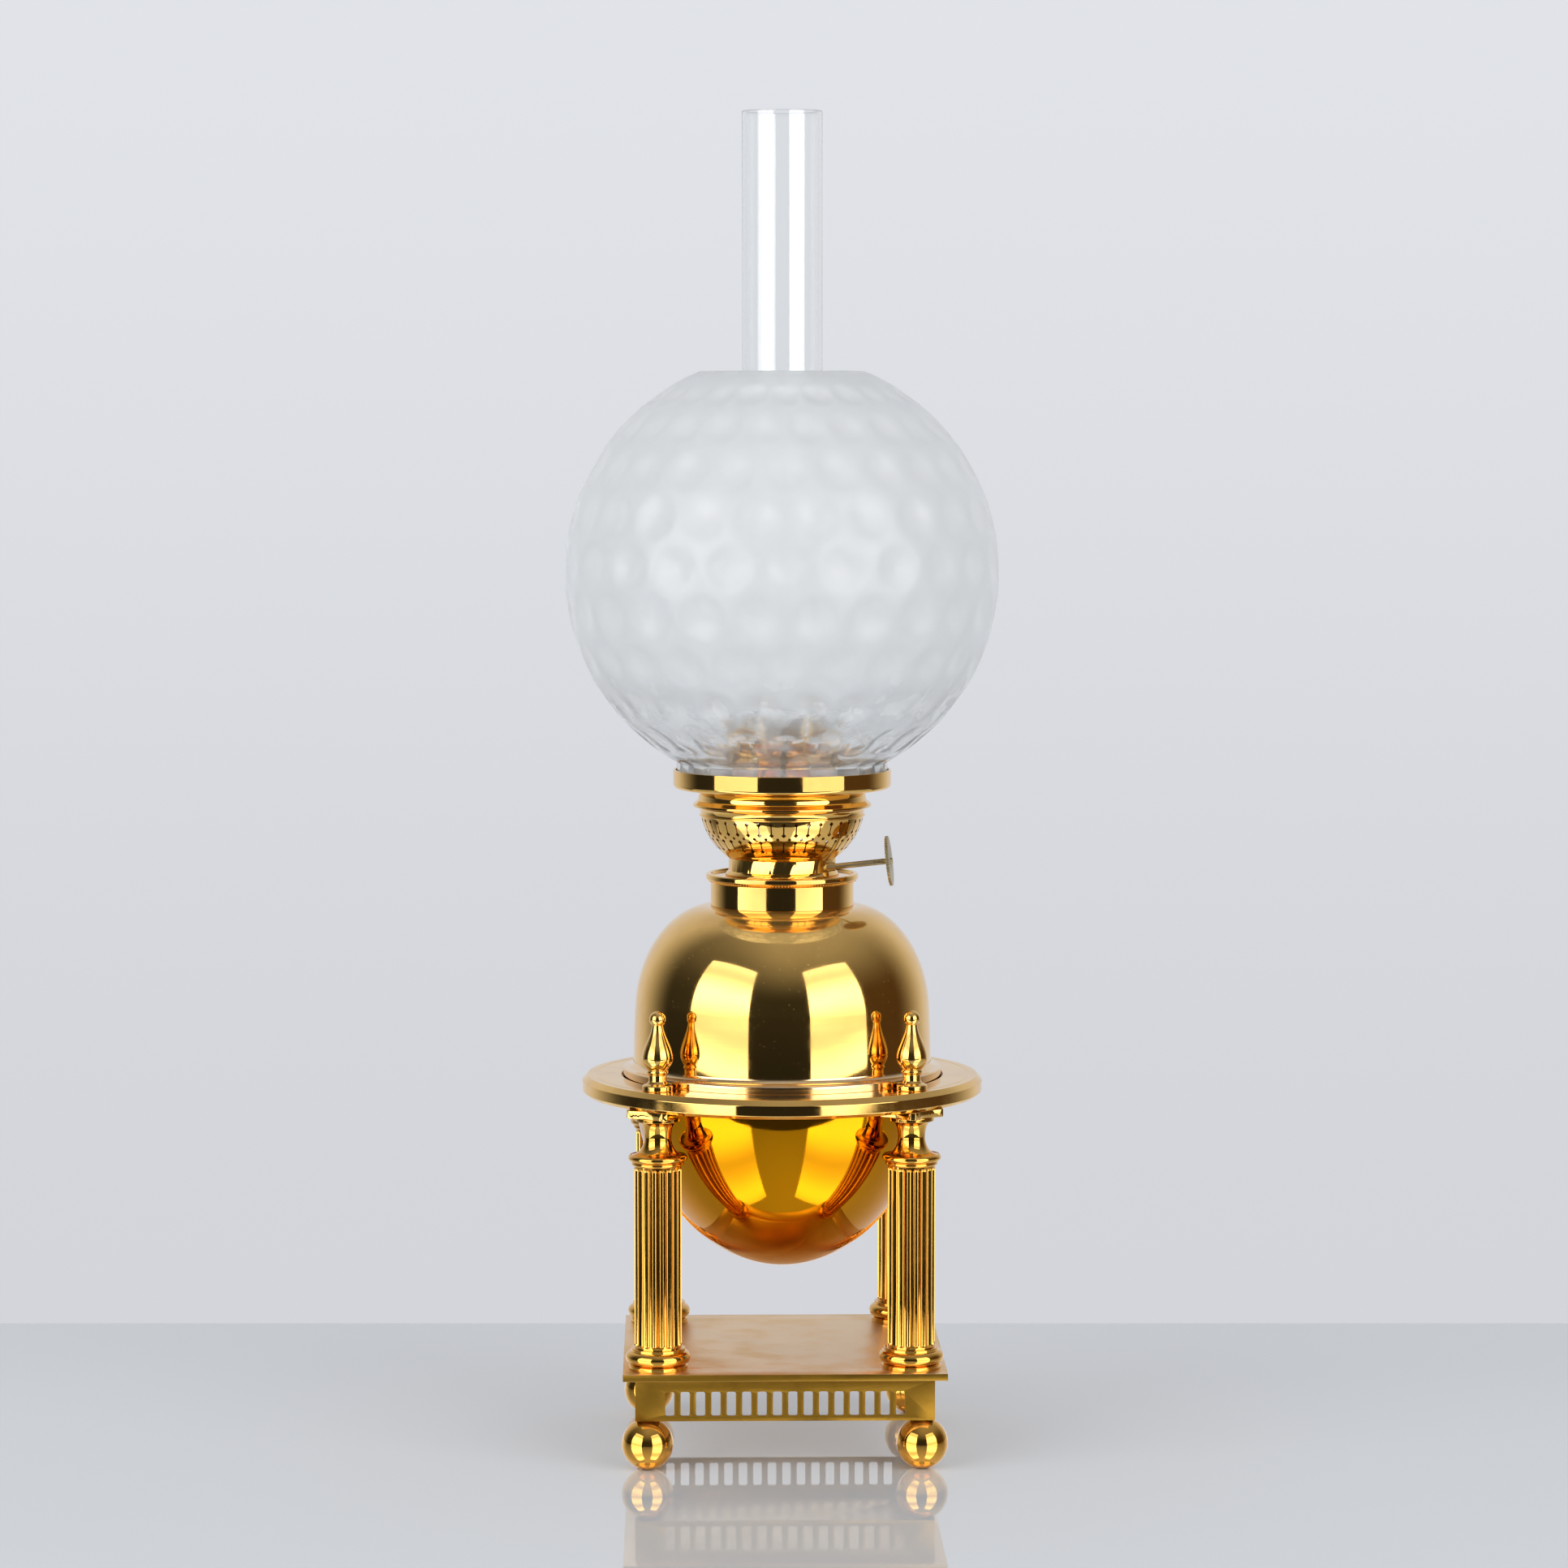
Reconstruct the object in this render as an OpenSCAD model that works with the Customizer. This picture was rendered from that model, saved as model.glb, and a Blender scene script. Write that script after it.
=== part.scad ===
// Table kerosene lamp: a spun font hung in a ring on four fluted columns, with a
// round-wick burner, a pierced basket, a glass chimney and a dimpled ball shade.
// Millimetres, +Z up, the knob to +X, the front to -Y, the origin under the lamp's axis.

/* [Base] */
// Width of the base plate outside the column axes
plate_margin = 16; // [15.2:0.1:22]
// Thickness of the base plate
plate_t = 3.2; // [2:0.1:5]
// Distance of the apron inside the plate's edge
apron_inset = 5.6; // [3:0.1:8]
// Height of the apron strips
apron_h = 19.2; // [16:0.1:26]
// Sheet thickness of the apron
apron_t = 1.2; // [0.8:0.1:2.4]
// Number of slots in each apron strip
slot_n = 16; // [8:1:16]
// Width of one slot
slot_w = 4.1; // [2:0.1:5]
// Height of one slot
slot_h = 11.1; // [6:0.1:13]
// Distance from the apron's end to the middle of its last slot
slot_end = 15.65; // [14.7:0.05:20]
// Metal left below the slots
slot_lift = 2.4; // [1.2:0.1:4]
// Side of the square corner blocks behind the apron
block_w = 11.4; // [9:0.2:12]
// Height of the corner blocks
block_h = 4; // [3:0.2:6]
// Height of the corner blocks above the apron's lower edge
block_lift = 1; // [0:0.1:3]
// Diameter of the ball feet
foot_d = 23.6; // [18:0.2:30]
// Depth of the flat that each ball stands on
foot_flat = 0.15; // [0.05:0.05:0.5]
// Distance of a foot's middle inside the apron's outer face
foot_inset = 5.55; // [5.2:0.05:7]
// Gap between a ball and its corner block, filled by its collar
foot_gap = 0.55; // [0.3:0.05:3]
// Diameter of the studs that hold the feet
stud_d = 4; // [3:0.5:5]

/* [Columns] */
// Distance of a column's axis outside the font's recess
rod_inset = 6.96; // [6.9:0.02:8.5]
// Height of the fluted shaft
shaft_h = 83.4; // [70:0.1:110]
// Radius of the fluted shaft
shaft_r = 10.7; // [9:0.1:11.2]
// Number of flutes
flute_n = 20; // [12:1:22]
// Radius of the flute cutter
flute_r = 1.4; // [0.8:0.05:1.5]
// Plain metal above and below the flutes
flute_margin = 0.7; // [0.3:0.1:4]
// Radius of the column base's round plinth
plinth_r = 13.5; // [13:0.1:15]
// Height of that plinth
plinth_h = 2.4; // [1.5:0.1:5]
// Outer radius of the base moulding
base_torus_r = 14.8; // [14:0.1:15.2]
// Height of the base moulding
base_torus_h = 6.1; // [4:0.1:8]
// Radius of the fillet ring under the shaft
fillet_ring_r = 12.4; // [11.4:0.1:13]
// Height of the fillet ring
fillet_ring_h = 1.3; // [1:0.1:3]
// Outer radius of the capital's moulding
cap_torus_r = 13.4; // [12.6:0.1:14.5]
// Height of the capital's moulding
cap_torus_h = 3.2; // [2.4:0.1:4.5]
// Height of the bead under that moulding
astragal_h = 2; // [1:0.1:3]
// Radius of the capital at its neck
cap_neck_r = 6.15; // [5:0.05:8]
// Height of the hollow from the moulding to the neck
cap_flare_h = 7.7; // [5:0.1:12]
// Height of the hollow from the neck to the top ring
cap_bell_h = 7.4; // [5:0.1:12]
// Radius of the capital's top ring
cap_ring_r = 10.2; // [9:0.1:12]
// Height of the top ring
cap_ring_h = 1.7; // [1:0.1:3]
// Side of the abacus before its corners are cut
abacus_w = 21.8; // [20:0.1:24]
// Distance between the abacus's opposite cut corners
abacus_diag = 28.6; // [26:0.1:30]
// Depth of the hollow in each side of the abacus
abacus_hollow = 1.3; // [0.5:0.1:2]
// Thickness of the abacus
abacus_t = 3.6; // [2:0.1:6]
// Turn of the front left abacus
abacus_turn_fl = 58; // [0:1:90]
// Turn of the other abaci
abacus_turn = 45; // [0:1:90]
// Diameter of the tie rods
rod_d = 4.8; // [4:0.1:6]
// Thread length of a tie rod below the base plate
rod_tail = 6; // [5:0.5:9]
// Thread length of a tie rod inside its finial
rod_head = 7; // [5:0.5:9]
// Width across the flats of the nuts
nut_af = 8; // [7:0.5:10]
// Width across the flats of the feet's nuts
foot_nut_af = 7; // [6.5:0.1:7]
// Thickness of the nuts
nut_t = 3.2; // [2.5:0.1:4]

/* [Finials] */
// Radius of the finial's foot ring
finial_foot_r = 7; // [6:0.1:7.3]
// Height of the foot ring
finial_foot_h = 2.6; // [1.5:0.1:4]
// Radius of the finial's neck
finial_neck_r = 4.1; // [3.4:0.1:4.4]
// Height of the neck and its collar
finial_neck_h = 7; // [6.4:0.1:9]
// Radius of the collar on the neck
finial_collar_r = 4.9; // [4.7:0.1:6]
// Largest radius of the drop
drop_r = 7.15; // [6.4:0.05:7.4]
// Height of the drop
drop_h = 20.3; // [16:0.1:26]
// Radius of the drop at its top
drop_tip_r = 2.45; // [2:0.05:3.4]
// Radius of the finial's ball
tip_ball_r = 3.7; // [3:0.1:4.5]

/* [Ring plate] */
// Width of the ring plate outside the font's recess
ring_band = 18.4; // [16.4:0.1:25]
// Thickness of the ring plate
ring_t = 8.6; // [6.6:0.1:11]
// Width of the upper bevel
bevel_w = 2.5; // [1:0.1:3]
// Height of the upper bevel
bevel_h = 2.4; // [1:0.1:3]
// Size of the lower bevel
under_bevel = 1.6; // [0.6:0.1:2]
// Depth of the recess that the font sits in
seat_depth = 4.4; // [3:0.1:5]
// Width of the ledge under the font's flange
seat_ledge = 4.1; // [2.5:0.1:4.4]
// Radial gap between the flange and its recess
seat_gap = 0.8; // [0.4:0.1:1]

/* [Font] */
// Outer radius of the font's wall at the flange
font_r = 69; // [60:0.5:80]
// Sheet thickness of the font
font_t = 0.9; // [0.7:0.1:1.6]
// Width of the flange outside the font's wall
flange_w = 4.7; // [4.3:0.1:5]
// Height of the flange's upright edge above the ring plate
flange_lip_h = 3.7; // [2:0.1:6]
// Height of the hollow above the flange's edge
flange_cove_h = 2.8; // [1.5:0.1:5]
// Straight taper of the wall above the flange
font_taper = 0.7; // [0:0.1:2]
// Height of the tapered wall from the ring plate to the shoulder
font_wall_h = 32.2; // [20:0.2:50]
// Height of the shoulder
shoulder_h = 46.3; // [36:0.1:56]
// Radius where the shoulder becomes flat
shoulder_flat_r = 33.6; // [33.4:0.1:36]
// Exponent of the spun curves, where 2 is an ellipse
spin_power = 1.9; // [1.7:0.05:2.3]
// Depth of the bowl's curve
bowl_h = 76.8; // [60:0.2:90]
// Draw-in of the bowl from the font's wall to where its curve starts
bowl_draw = 1.5; // [1.2:0.1:8]
// Depth of the bowl's mouth below the ring plate's top
bowl_drop = 12.8; // [10:0.1:18]
// Outer radius of the font's collar
collar_r = 33.2; // [31.5:0.1:33.3]
// Height of the collar
collar_h = 11; // [6.4:0.1:14]
// Bore radius of the collar
collar_bore_r = 28.6; // [27.5:0.1:29.4]

/* [Burner] */
// Turn of the burner about the lamp's axis
burner_turn = -7; // [-30:1:30]
// Outer radius of the milled adapter ring
adapter_r = 35.3; // [34.4:0.1:38]
// Height of the adapter ring above the collar
adapter_h = 4; // [3.4:0.1:8]
// Depth of the adapter's skirt inside the collar
adapter_skirt = 6; // [3:0.1:8]
// Width of the adapter's raised rim
adapter_rim = 2.2; // [1.5:0.1:3]
// Depth of the recess inside that rim
adapter_dip = 1.1; // [0.6:0.1:1.5]
// Outer radius of the burner's lower cylinder
burner_r = 24.8; // [23.4:0.1:25]
// Sheet thickness of the burner's shells
burner_t = 0.8; // [0.6:0.1:1.2]
// Height of the lower cylinder above the adapter
burner_h = 7.2; // [6.8:0.1:10]
// Depth of the burner's cup below the adapter's top
cup_depth = 9.8; // [8:0.1:14]
// Radius of the bead that seats the burner
bead_r = 26.3; // [25.4:0.1:27]
// Height of that bead
bead_h = 2.2; // [1.4:0.1:2.3]
// Radius of the basket's curve
basket_arc_r = 32.5; // [32.3:0.1:33]
// Distance of the curve's centre from the axis
basket_arc_x = 6; // [5:0.1:7]
// Height of the curve's centre above the lower cylinder
basket_arc_z = 26.3; // [26:0.1:26.5]
// Height of the basket
basket_h = 19.4; // [19.2:0.1:22]
// Sheet thickness of the basket
basket_t = 0.7; // [0.5:0.1:1]
// Number of slots in each row of the piercing
pierce_n = 40; // [24:1:40]
// Angle below the curve's centre of the upper row of slots
pierce_upper_a = 19.7; // [19.4:0.1:20.4]
// Angle of the row of small holes
pierce_hole_a = 27.9; // [27:0.1:29]
// Angle of the lower row of slots
pierce_lower_a = 36.1; // [35.5:0.1:37.5]
// Length of a slot in the upper row
pierce_upper_l = 7.5; // [4:0.1:7.6]
// Length of a slot in the lower row
pierce_lower_l = 7.6; // [4:0.1:7.8]
// Width of the diamond at each end of a slot
diamond_w = 2.3; // [1.2:0.1:2.4]
// Width of the link between the diamonds
link_w = 0.6; // [0.4:0.1:1]
// Diameter of a small hole
hole_d = 1.5; // [0.8:0.1:1.7]
// Outer radius of the lip over the basket
lip_r = 41.3; // [40.6:0.1:43]
// Height of the lip's underside above the basket's top
lip_flare_h = 4.6; // [3:0.1:6]
// Height of the lip's edge
lip_h = 1.2; // [0.6:0.1:2]
// Height of the dome from the lip to the shade ring
dome_h = 7; // [5:0.1:10]
// Radius of the flat that carries the shade ring
dome_flat_r = 34.5; // [32.5:0.1:36]

/* [Wick raiser] */
// Distance of the spindle from the burner's axis
spindle_offset = 10.2; // [9.9:0.1:11.5]
// Height of the spindle's axis above the adapter, at the burner's middle
spindle_rise = 1.1; // [0.9:0.05:1.4]
// Upward tilt of the spindle
spindle_tilt = 6.5; // [5:0.1:8]
// Diameter of the spindle
spindle_d = 2.7; // [2:0.1:2.8]
// Length of the spindle inside the burner, past its middle
spindle_in = 8.4; // [8:0.1:10]
// Distance from the burner's middle to the knob
knob_reach = 50.2; // [44:0.1:60]
// Diameter of the knob
knob_d = 23; // [18:0.1:25]
// Thickness of the knob
knob_t = 1.3; // [1:0.1:2.5]
// Number of notches round the knob
knob_n = 48; // [24:1:60]
// Outer diameter of the spindle's gland
gland_d = 4; // [3.8:0.1:4.4]
// Length of the gland outside the burner
gland_l = 3.2; // [2:0.1:5]
// Outer radius of the toothed wick wheels
wheel_r = 2.7; // [2.3:0.05:2.7]
// Thickness of a wick wheel
wheel_t = 0.8; // [0.6:0.1:1.2]
// Distance of each wick wheel from the middle
wheel_x = 1.7; // [1.4:0.1:2]
// Number of teeth on a wick wheel
wheel_teeth = 12; // [8:1:16]

/* [Wick] */
// Outer radius of the wick
wick_r = 7.2; // [6:0.1:7.2]
// Thickness of the wick
wick_t = 1.7; // [1:0.1:2]
// Width of the open seam at the wick's back
wick_seam = 3.4; // [3:0.1:5]
// Height of the wick's lit edge above its tubes
wick_show = 1.2; // [0:0.1:3]
// Length of the wick
wick_l = 150; // [120:1:155]
// Radial gap on each side of the wick
wick_gap = 0.4; // [0.3:0.05:0.6]
// Sheet thickness of the wick tubes
tube_t = 0.7; // [0.5:0.1:0.8]
// Height of the wick tubes above the shade ring's seat
tube_top = 28; // [20:0.5:34]

/* [Chimney] */
// Outer radius of the chimney's tube
chimney_r = 18.5; // [17:0.1:22]
// Wall of the chimney
chimney_t = 1.6; // [1.2:0.1:2.4]
// Overall height of the chimney
chimney_h = 310.2; // [240:0.2:340]
// Outer radius of the chimney's foot
chimney_foot_r = 25.3; // [24:0.1:26]
// Height of the straight foot
chimney_foot_h = 26; // [22:0.5:36]
// Radius of the waist over the flame
waist_r = 15.8; // [14:0.1:17]
// Height of the shoulder down from the foot to the waist
waist_drop_h = 9; // [6:0.5:14]
// Height of the flare from the waist to the tube
waist_rise_h = 12; // [8:0.5:20]
// Height of the gallery's prongs
prong_h = 25; // [14:0.5:26]
// Number of prongs
prong_n = 12; // [8:1:16]
// Width of the slits between the prongs
prong_slit = 3; // [1:0.1:4]
// Thickness of the chimney gallery's sheet
prong_t = 0.6; // [0.5:0.1:1]

/* [Shade] */
// Outer radius of the shade's fitter ring
holder_r = 50.5; // [50:0.1:54]
// Height of the fitter ring's band
holder_h = 8.7; // [6:0.1:14]
// Sheet thickness of the fitter ring
holder_t = 1.2; // [0.8:0.1:1.4]
// Rounding of the ring's lower edge
holder_round = 2.2; // [1.3:0.1:3]
// Outer radius of the ball shade
shade_r = 100.1; // [90:0.1:110]
// Wall of the shade
shade_t = 2.8; // [2:0.1:3.6]
// Outer radius of the shade's neck
shade_neck_r = 48.7; // [46:0.1:48.8]
// Length of the neck inside the fitter ring
shade_neck_h = 11; // [8:0.1:16]
// Radius of the opening at the shade's top, outside
shade_top_r = 37.9; // [30:0.1:46]
// Number of dimples in a row
dimple_n = 24; // [16:1:28]
// Number of rows of dimples
dimple_rows = 9; // [5:1:9]
// Angle between the rows
dimple_step = 13; // [12:0.1:13.5]
// Angle of the middle row above the shade's equator
dimple_start = 3; // [-4:0.5:8]
// Depth of a dimple
dimple_depth = 1.4; // [0.8:0.1:1.6]
// Running clearance between metal parts
fit = 0.05; // [0.03:0.01:0.08]

/* [Hidden] */

// Smoothness of turned and spun surfaces
$fn = 96;

// Heights of the stand, from the ground up
foot_z = foot_d / 2 - foot_flat;
block_z = foot_z + foot_d / 2 + foot_gap;
apron_z = block_z - block_lift;
plate_z = apron_z + apron_h;
plate_top = plate_z + plate_t;
column_base_h = plinth_h + base_torus_h + fillet_ring_h;
shaft_z = plate_top + column_base_h;
capital_z = shaft_z + shaft_h;
capital_h = astragal_h + cap_torus_h + cap_flare_h + cap_bell_h + cap_ring_h;
abacus_z = capital_z + capital_h;
ring_z = abacus_z + abacus_t;
ring_top = ring_z + ring_t;
rod_r = rod_d / 2;
rod_bore_r = rod_r + fit;

// Widths of the stand, which follow the font
flange_r = font_r + flange_w;
recess_r = flange_r + seat_gap;
ring_r = recess_r + ring_band;
column_pitch = (recess_r + rod_inset) * sqrt(2);
plate_w = column_pitch + 2 * plate_margin;
apron_w = plate_w - 2 * apron_inset;
slot_pitch = (apron_w - 2 * slot_end) / (slot_n - 1);
foot_pitch = apron_w - 2 * foot_inset;
front_left = [-column_pitch / 2, -column_pitch / 2];
front_right = [column_pitch / 2, -column_pitch / 2];
rear_left = [-column_pitch / 2, column_pitch / 2];
rear_right = [column_pitch / 2, column_pitch / 2];
corners = [front_left, front_right, rear_left, rear_right];

// Heights and radii of the font
seat_z = ring_top - seat_depth;
bowl_r = font_r - bowl_draw;
seam_z = ring_top - 0.6;
bowl_z = ring_top - bowl_drop;
lip_top = ring_top + flange_lip_h;
cove_top = lip_top + flange_cove_h;
shoulder_r = font_r - font_taper;
shoulder_z = ring_top + font_wall_h;
collar_z = shoulder_z + shoulder_h;
adapter_z = collar_z + collar_h;

// Heights and radii of the burner
adapter_top = adapter_z + adapter_h;
cup_z = adapter_top - cup_depth;
bead_z = adapter_top - adapter_dip;
basket_z = adapter_top + burner_h;
arc_z = basket_z + basket_arc_z;
basket_top = basket_z + basket_h;
basket_top_r = arc_r_at(basket_arc_r, basket_top);
lip_z = basket_top + lip_flare_h;
holder_z = lip_z + lip_h + dome_h;
holder_floor = holder_z + holder_t;
gallery_floor = holder_z + prong_t;
tube_top_z = holder_z + tube_top;
wick_tube_r = wick_r + wick_gap;
draught_r = wick_r - wick_t - wick_gap;
spindle_z = adapter_top + spindle_rise;
spindle_r = spindle_d / 2;
gallery_r = chimney_foot_r + 0.3;
gland_x = sqrt(pow(burner_r, 2) - pow(spindle_offset, 2));
shade_z = holder_floor;
neck_round = holder_round - holder_t + 0.1;
shade_ball_z = shade_z + shade_neck_h + sqrt(pow(shade_r, 2) - pow(shade_neck_r, 2));
shade_top_z = shade_ball_z + sqrt(pow(shade_r, 2) - pow(shade_top_r, 2));
dimple_r = shade_r * 0.35;

// Radius, at one height, of a curve of radius r about the basket's centre
function arc_r_at(r, z) = basket_arc_x + sqrt(pow(r, 2) - pow(z - arc_z, 2));

// Points of a spun quarter curve: a and b are its half axes, from the side to the pole
function spun(cx, cz, a, b, n = 28) = [
  for (i = [0:n]) let (t = 90 * i / n)
    [cx + a * pow(cos(t), 2 / spin_power), cz + b * pow(sin(t), 2 / spin_power)]
];

// Points of a hollow quarter round between two corners, bulging towards the axis
function hollow(x0, z0, x1, z1, n = 12) = [
  for (i = [0:n]) let (t = 90 * i / n) [x0 + (x1 - x0) * sin(t), z1 - (z1 - z0) * cos(t)]
];

// Points of a band that rises upright from one corner and flares out level to the other
function flare(x0, z0, x1, z1, n = 8) = [
  for (i = [0:n]) let (t = 90 * i / n) [x1 - (x1 - x0) * cos(t), z0 + (z1 - z0) * sin(t)]
];

// Runs its children at each point of a list
module at(points, z) {
  for (p = points) translate([p[0], p[1], z]) children();
}

// A plain round hole, cut through with spare length at both ends
module bore(r, z0, z1) {
  translate([0, 0, z0 - 1]) cylinder(r = r, h = z1 - z0 + 2);
}

// A turned ring from its radii and heights
module ring(r_in, r_out, z0, z1) {
  rotate_extrude() translate([r_in, z0]) square([r_out - r_in, z1 - z0]);
}

// Hexagonal nut with a round bore
module nut(bore_r, af) {
  difference() {
    cylinder(d = af / cos(30), h = nut_t, $fn = 6);
    bore(bore_r, 0, nut_t);
  }
}

module base_plate() {
  color([0.86, 0.62, 0.34]) difference() {
    translate([-plate_w / 2, -plate_w / 2, plate_z]) cube([plate_w, plate_w, plate_t]);
    at(corners, 0) bore(rod_bore_r, plate_z, plate_top);
  }
}

// One apron strip, upright along X with its outer face at -Y
module apron_strip(length) {
  first = -(slot_n - 1) * slot_pitch / 2;
  translate([0, -apron_w / 2, apron_z]) difference() {
    translate([-length / 2, 0, 0]) cube([length, apron_t, apron_h]);
    for (i = [0:slot_n - 1])
      translate([first + i * slot_pitch, apron_t + 1, slot_lift]) rotate([90, 0, 0])
        linear_extrude(apron_t + 2) apron_slot();
  }
}

// Outline of one apron slot with rounded corners, standing on its lower end
module apron_slot() {
  corner = 0.9;
  for (x = [-1, 1], y = [corner, slot_h - corner])
    translate([x * (slot_w / 2 - corner), y]) circle(r = corner, $fn = 24);
  translate([-slot_w / 2, corner]) square([slot_w, slot_h - 2 * corner]);
  translate([corner - slot_w / 2, 0]) square([slot_w - 2 * corner, slot_h]);
}

module apron_front() { color([0.72, 0.54, 0.2]) apron_strip(apron_w); }
module apron_back() { color([0.72, 0.54, 0.2]) rotate([0, 0, 180]) apron_strip(apron_w); }
module apron_left() { color([0.72, 0.54, 0.2]) rotate([0, 0, -90]) apron_strip(apron_w - 2 * apron_t); }
module apron_right() { color([0.72, 0.54, 0.2]) rotate([0, 0, 90]) apron_strip(apron_w - 2 * apron_t); }

// Places a child at each ball foot, turned to its corner
module at_feet() {
  for (x = [-1, 1], y = [-1, 1])
    translate([x * foot_pitch / 2, y * foot_pitch / 2, 0]) children();
}

module corner_blocks() {
  inner = apron_w / 2 - apron_t - block_w;
  color([0.6, 0.45, 0.2]) difference() {
    for (x = [0, 1], y = [0, 1]) mirror([x, 0, 0]) mirror([0, y, 0])
      translate([inner, inner, block_z]) cube([block_w, block_w, block_h]);
    at_feet() bore(stud_d / 2 + fit, block_z, block_z + block_h);
  }
}

// Ball foot with its collar and the stud that passes its corner block
module ball_foot(x, y) {
  ball_r = foot_d / 2;
  stud_top = block_z + block_h + nut_t + 1;
  color([0.9, 0.7, 0.28]) translate([x * foot_pitch / 2, y * foot_pitch / 2, 0])
    rotate_extrude() intersection() {
      union() {
        translate([0, foot_z]) circle(r = ball_r);
        translate([0, foot_z]) square([stud_d, block_z - foot_z]);
        translate([0, foot_z]) square([stud_d / 2, stud_top - foot_z]);
      }
      square([ball_r + 1, stud_top]);
    }
}

module foot_front_left() { ball_foot(-1, -1); }
module foot_front_right() { ball_foot(1, -1); }
module foot_rear_left() { ball_foot(-1, 1); }
module foot_rear_right() { ball_foot(1, 1); }

module foot_nuts() {
  color([0.6, 0.45, 0.2]) at_feet() translate([0, 0, block_z + block_h]) nut(stud_d / 2 + fit, foot_nut_af);
}

// Turned base of a column: plinth, swelling and fillet ring
module column_base(p) {
  swell = base_torus_h / 2;
  color([0.86, 0.64, 0.26]) translate([p[0], p[1], plate_top]) rotate_extrude()
    difference() {
      union() {
        square([plinth_r - 0.5, plinth_h]);
        translate([0, 0.5]) square([plinth_r, plinth_h - 1]);
        translate([plinth_r - 0.5, 0.5]) circle(r = 0.5, $fn = 24);
        translate([plinth_r - 0.5, plinth_h - 0.5]) circle(r = 0.5, $fn = 24);
        translate([0, plinth_h]) square([base_torus_r - swell, base_torus_h]);
        translate([base_torus_r - swell, plinth_h + swell]) circle(r = swell, $fn = 64);
        translate([0, plinth_h + base_torus_h - 0.5]) square([fillet_ring_r, fillet_ring_h + 0.5]);
      }
      translate([-1, -1]) square([rod_bore_r + 1, column_base_h + 2]);
    }
}

module column_base_fl() { column_base(front_left); }
module column_base_fr() { column_base(front_right); }
module column_base_rl() { column_base(rear_left); }
module column_base_rr() { column_base(rear_right); }

// Fluted shaft, its flutes rounded at both ends
module column_shaft(p) {
  flute_x = shaft_r + 0.22 * flute_r;
  flute_z = flute_margin + flute_r;
  color([0.86, 0.62, 0.22]) translate([p[0], p[1], shaft_z]) difference() {
    cylinder(r = shaft_r, h = shaft_h);
    for (i = [0:flute_n - 1]) rotate([0, 0, (i + 0.5) * 360 / flute_n]) translate([flute_x, 0, 0]) {
      translate([0, 0, flute_z]) cylinder(r = flute_r, h = shaft_h - 2 * flute_z, $fn = 24);
      translate([0, 0, flute_z]) sphere(r = flute_r, $fn = 24);
      translate([0, 0, shaft_h - flute_z]) sphere(r = flute_r, $fn = 24);
    }
    bore(rod_bore_r, 0, shaft_h);
  }
}

module column_shaft_fl() { column_shaft(front_left); }
module column_shaft_fr() { column_shaft(front_right); }
module column_shaft_rl() { column_shaft(rear_left); }
module column_shaft_rr() { column_shaft(rear_right); }

// Turned capital: bead, swelling, hollow neck and top ring
module capital(p) {
  swell = cap_torus_h / 2;
  torus_z = astragal_h + swell;
  flare_z = astragal_h + cap_torus_h - 0.25 * swell;
  neck_z = astragal_h + cap_torus_h + cap_flare_h;
  bell_z = neck_z + cap_bell_h;
  color([0.88, 0.65, 0.26]) translate([p[0], p[1], capital_z]) rotate_extrude()
    difference() {
      union() {
        square([shaft_r + 0.5, astragal_h]);
        translate([shaft_r + 0.2, astragal_h / 2]) circle(r = astragal_h / 2, $fn = 32);
        translate([0, astragal_h]) square([cap_torus_r - swell, cap_torus_h]);
        translate([cap_torus_r - swell, torus_z]) circle(r = swell, $fn = 48);
        polygon(concat(
          [[0, astragal_h + swell]],
          [for (q = hollow(cap_torus_r - 0.5 * swell, flare_z, cap_neck_r, neck_z)) q],
          [for (i = [1:12]) let (t = 90 * i / 12)
            [cap_ring_r - 0.6 - (cap_ring_r - 0.6 - cap_neck_r) * cos(t), neck_z + cap_bell_h * sin(t)]],
          [[0, bell_z]]));
        translate([0, bell_z]) square([cap_ring_r, cap_ring_h]);
      }
      translate([-1, -1]) square([rod_bore_r + 1, capital_h + 2]);
    }
}

module capital_fl() { capital(front_left); }
module capital_fr() { capital(front_right); }
module capital_rl() { capital(rear_left); }
module capital_rr() { capital(rear_right); }

// Square abacus with hollow sides and cut corners
module abacus(p, turn) {
  hollow_r = 24;
  color([0.8, 0.6, 0.25]) translate([p[0], p[1], abacus_z]) difference() {
    rotate([0, 0, turn]) linear_extrude(abacus_t) difference() {
      intersection() {
        square(abacus_w, center = true);
        rotate(45) square(abacus_diag, center = true);
      }
      for (a = [0:90:270]) rotate(a)
        translate([abacus_w / 2 - abacus_hollow + hollow_r, 0]) circle(r = hollow_r, $fn = 120);
    }
    bore(rod_bore_r, 0, abacus_t);
  }
}

module abacus_fl() { abacus(front_left, abacus_turn_fl); }
module abacus_fr() { abacus(front_right, abacus_turn); }
module abacus_rl() { abacus(rear_left, abacus_turn); }
module abacus_rr() { abacus(rear_right, abacus_turn); }

// Tie rod from under the base plate up into its finial
module tie_rod(p) {
  color([0.65, 0.5, 0.22]) translate([p[0], p[1], plate_z - rod_tail])
    cylinder(r = rod_r, h = ring_top + rod_head - plate_z + rod_tail);
}

module tie_rod_fl() { tie_rod(front_left); }
module tie_rod_fr() { tie_rod(front_right); }
module tie_rod_rl() { tie_rod(rear_left); }
module tie_rod_rr() { tie_rod(rear_right); }

module rod_nuts() {
  color([0.6, 0.45, 0.2]) at(corners, plate_z - nut_t) nut(rod_bore_r, nut_af);
}

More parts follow.
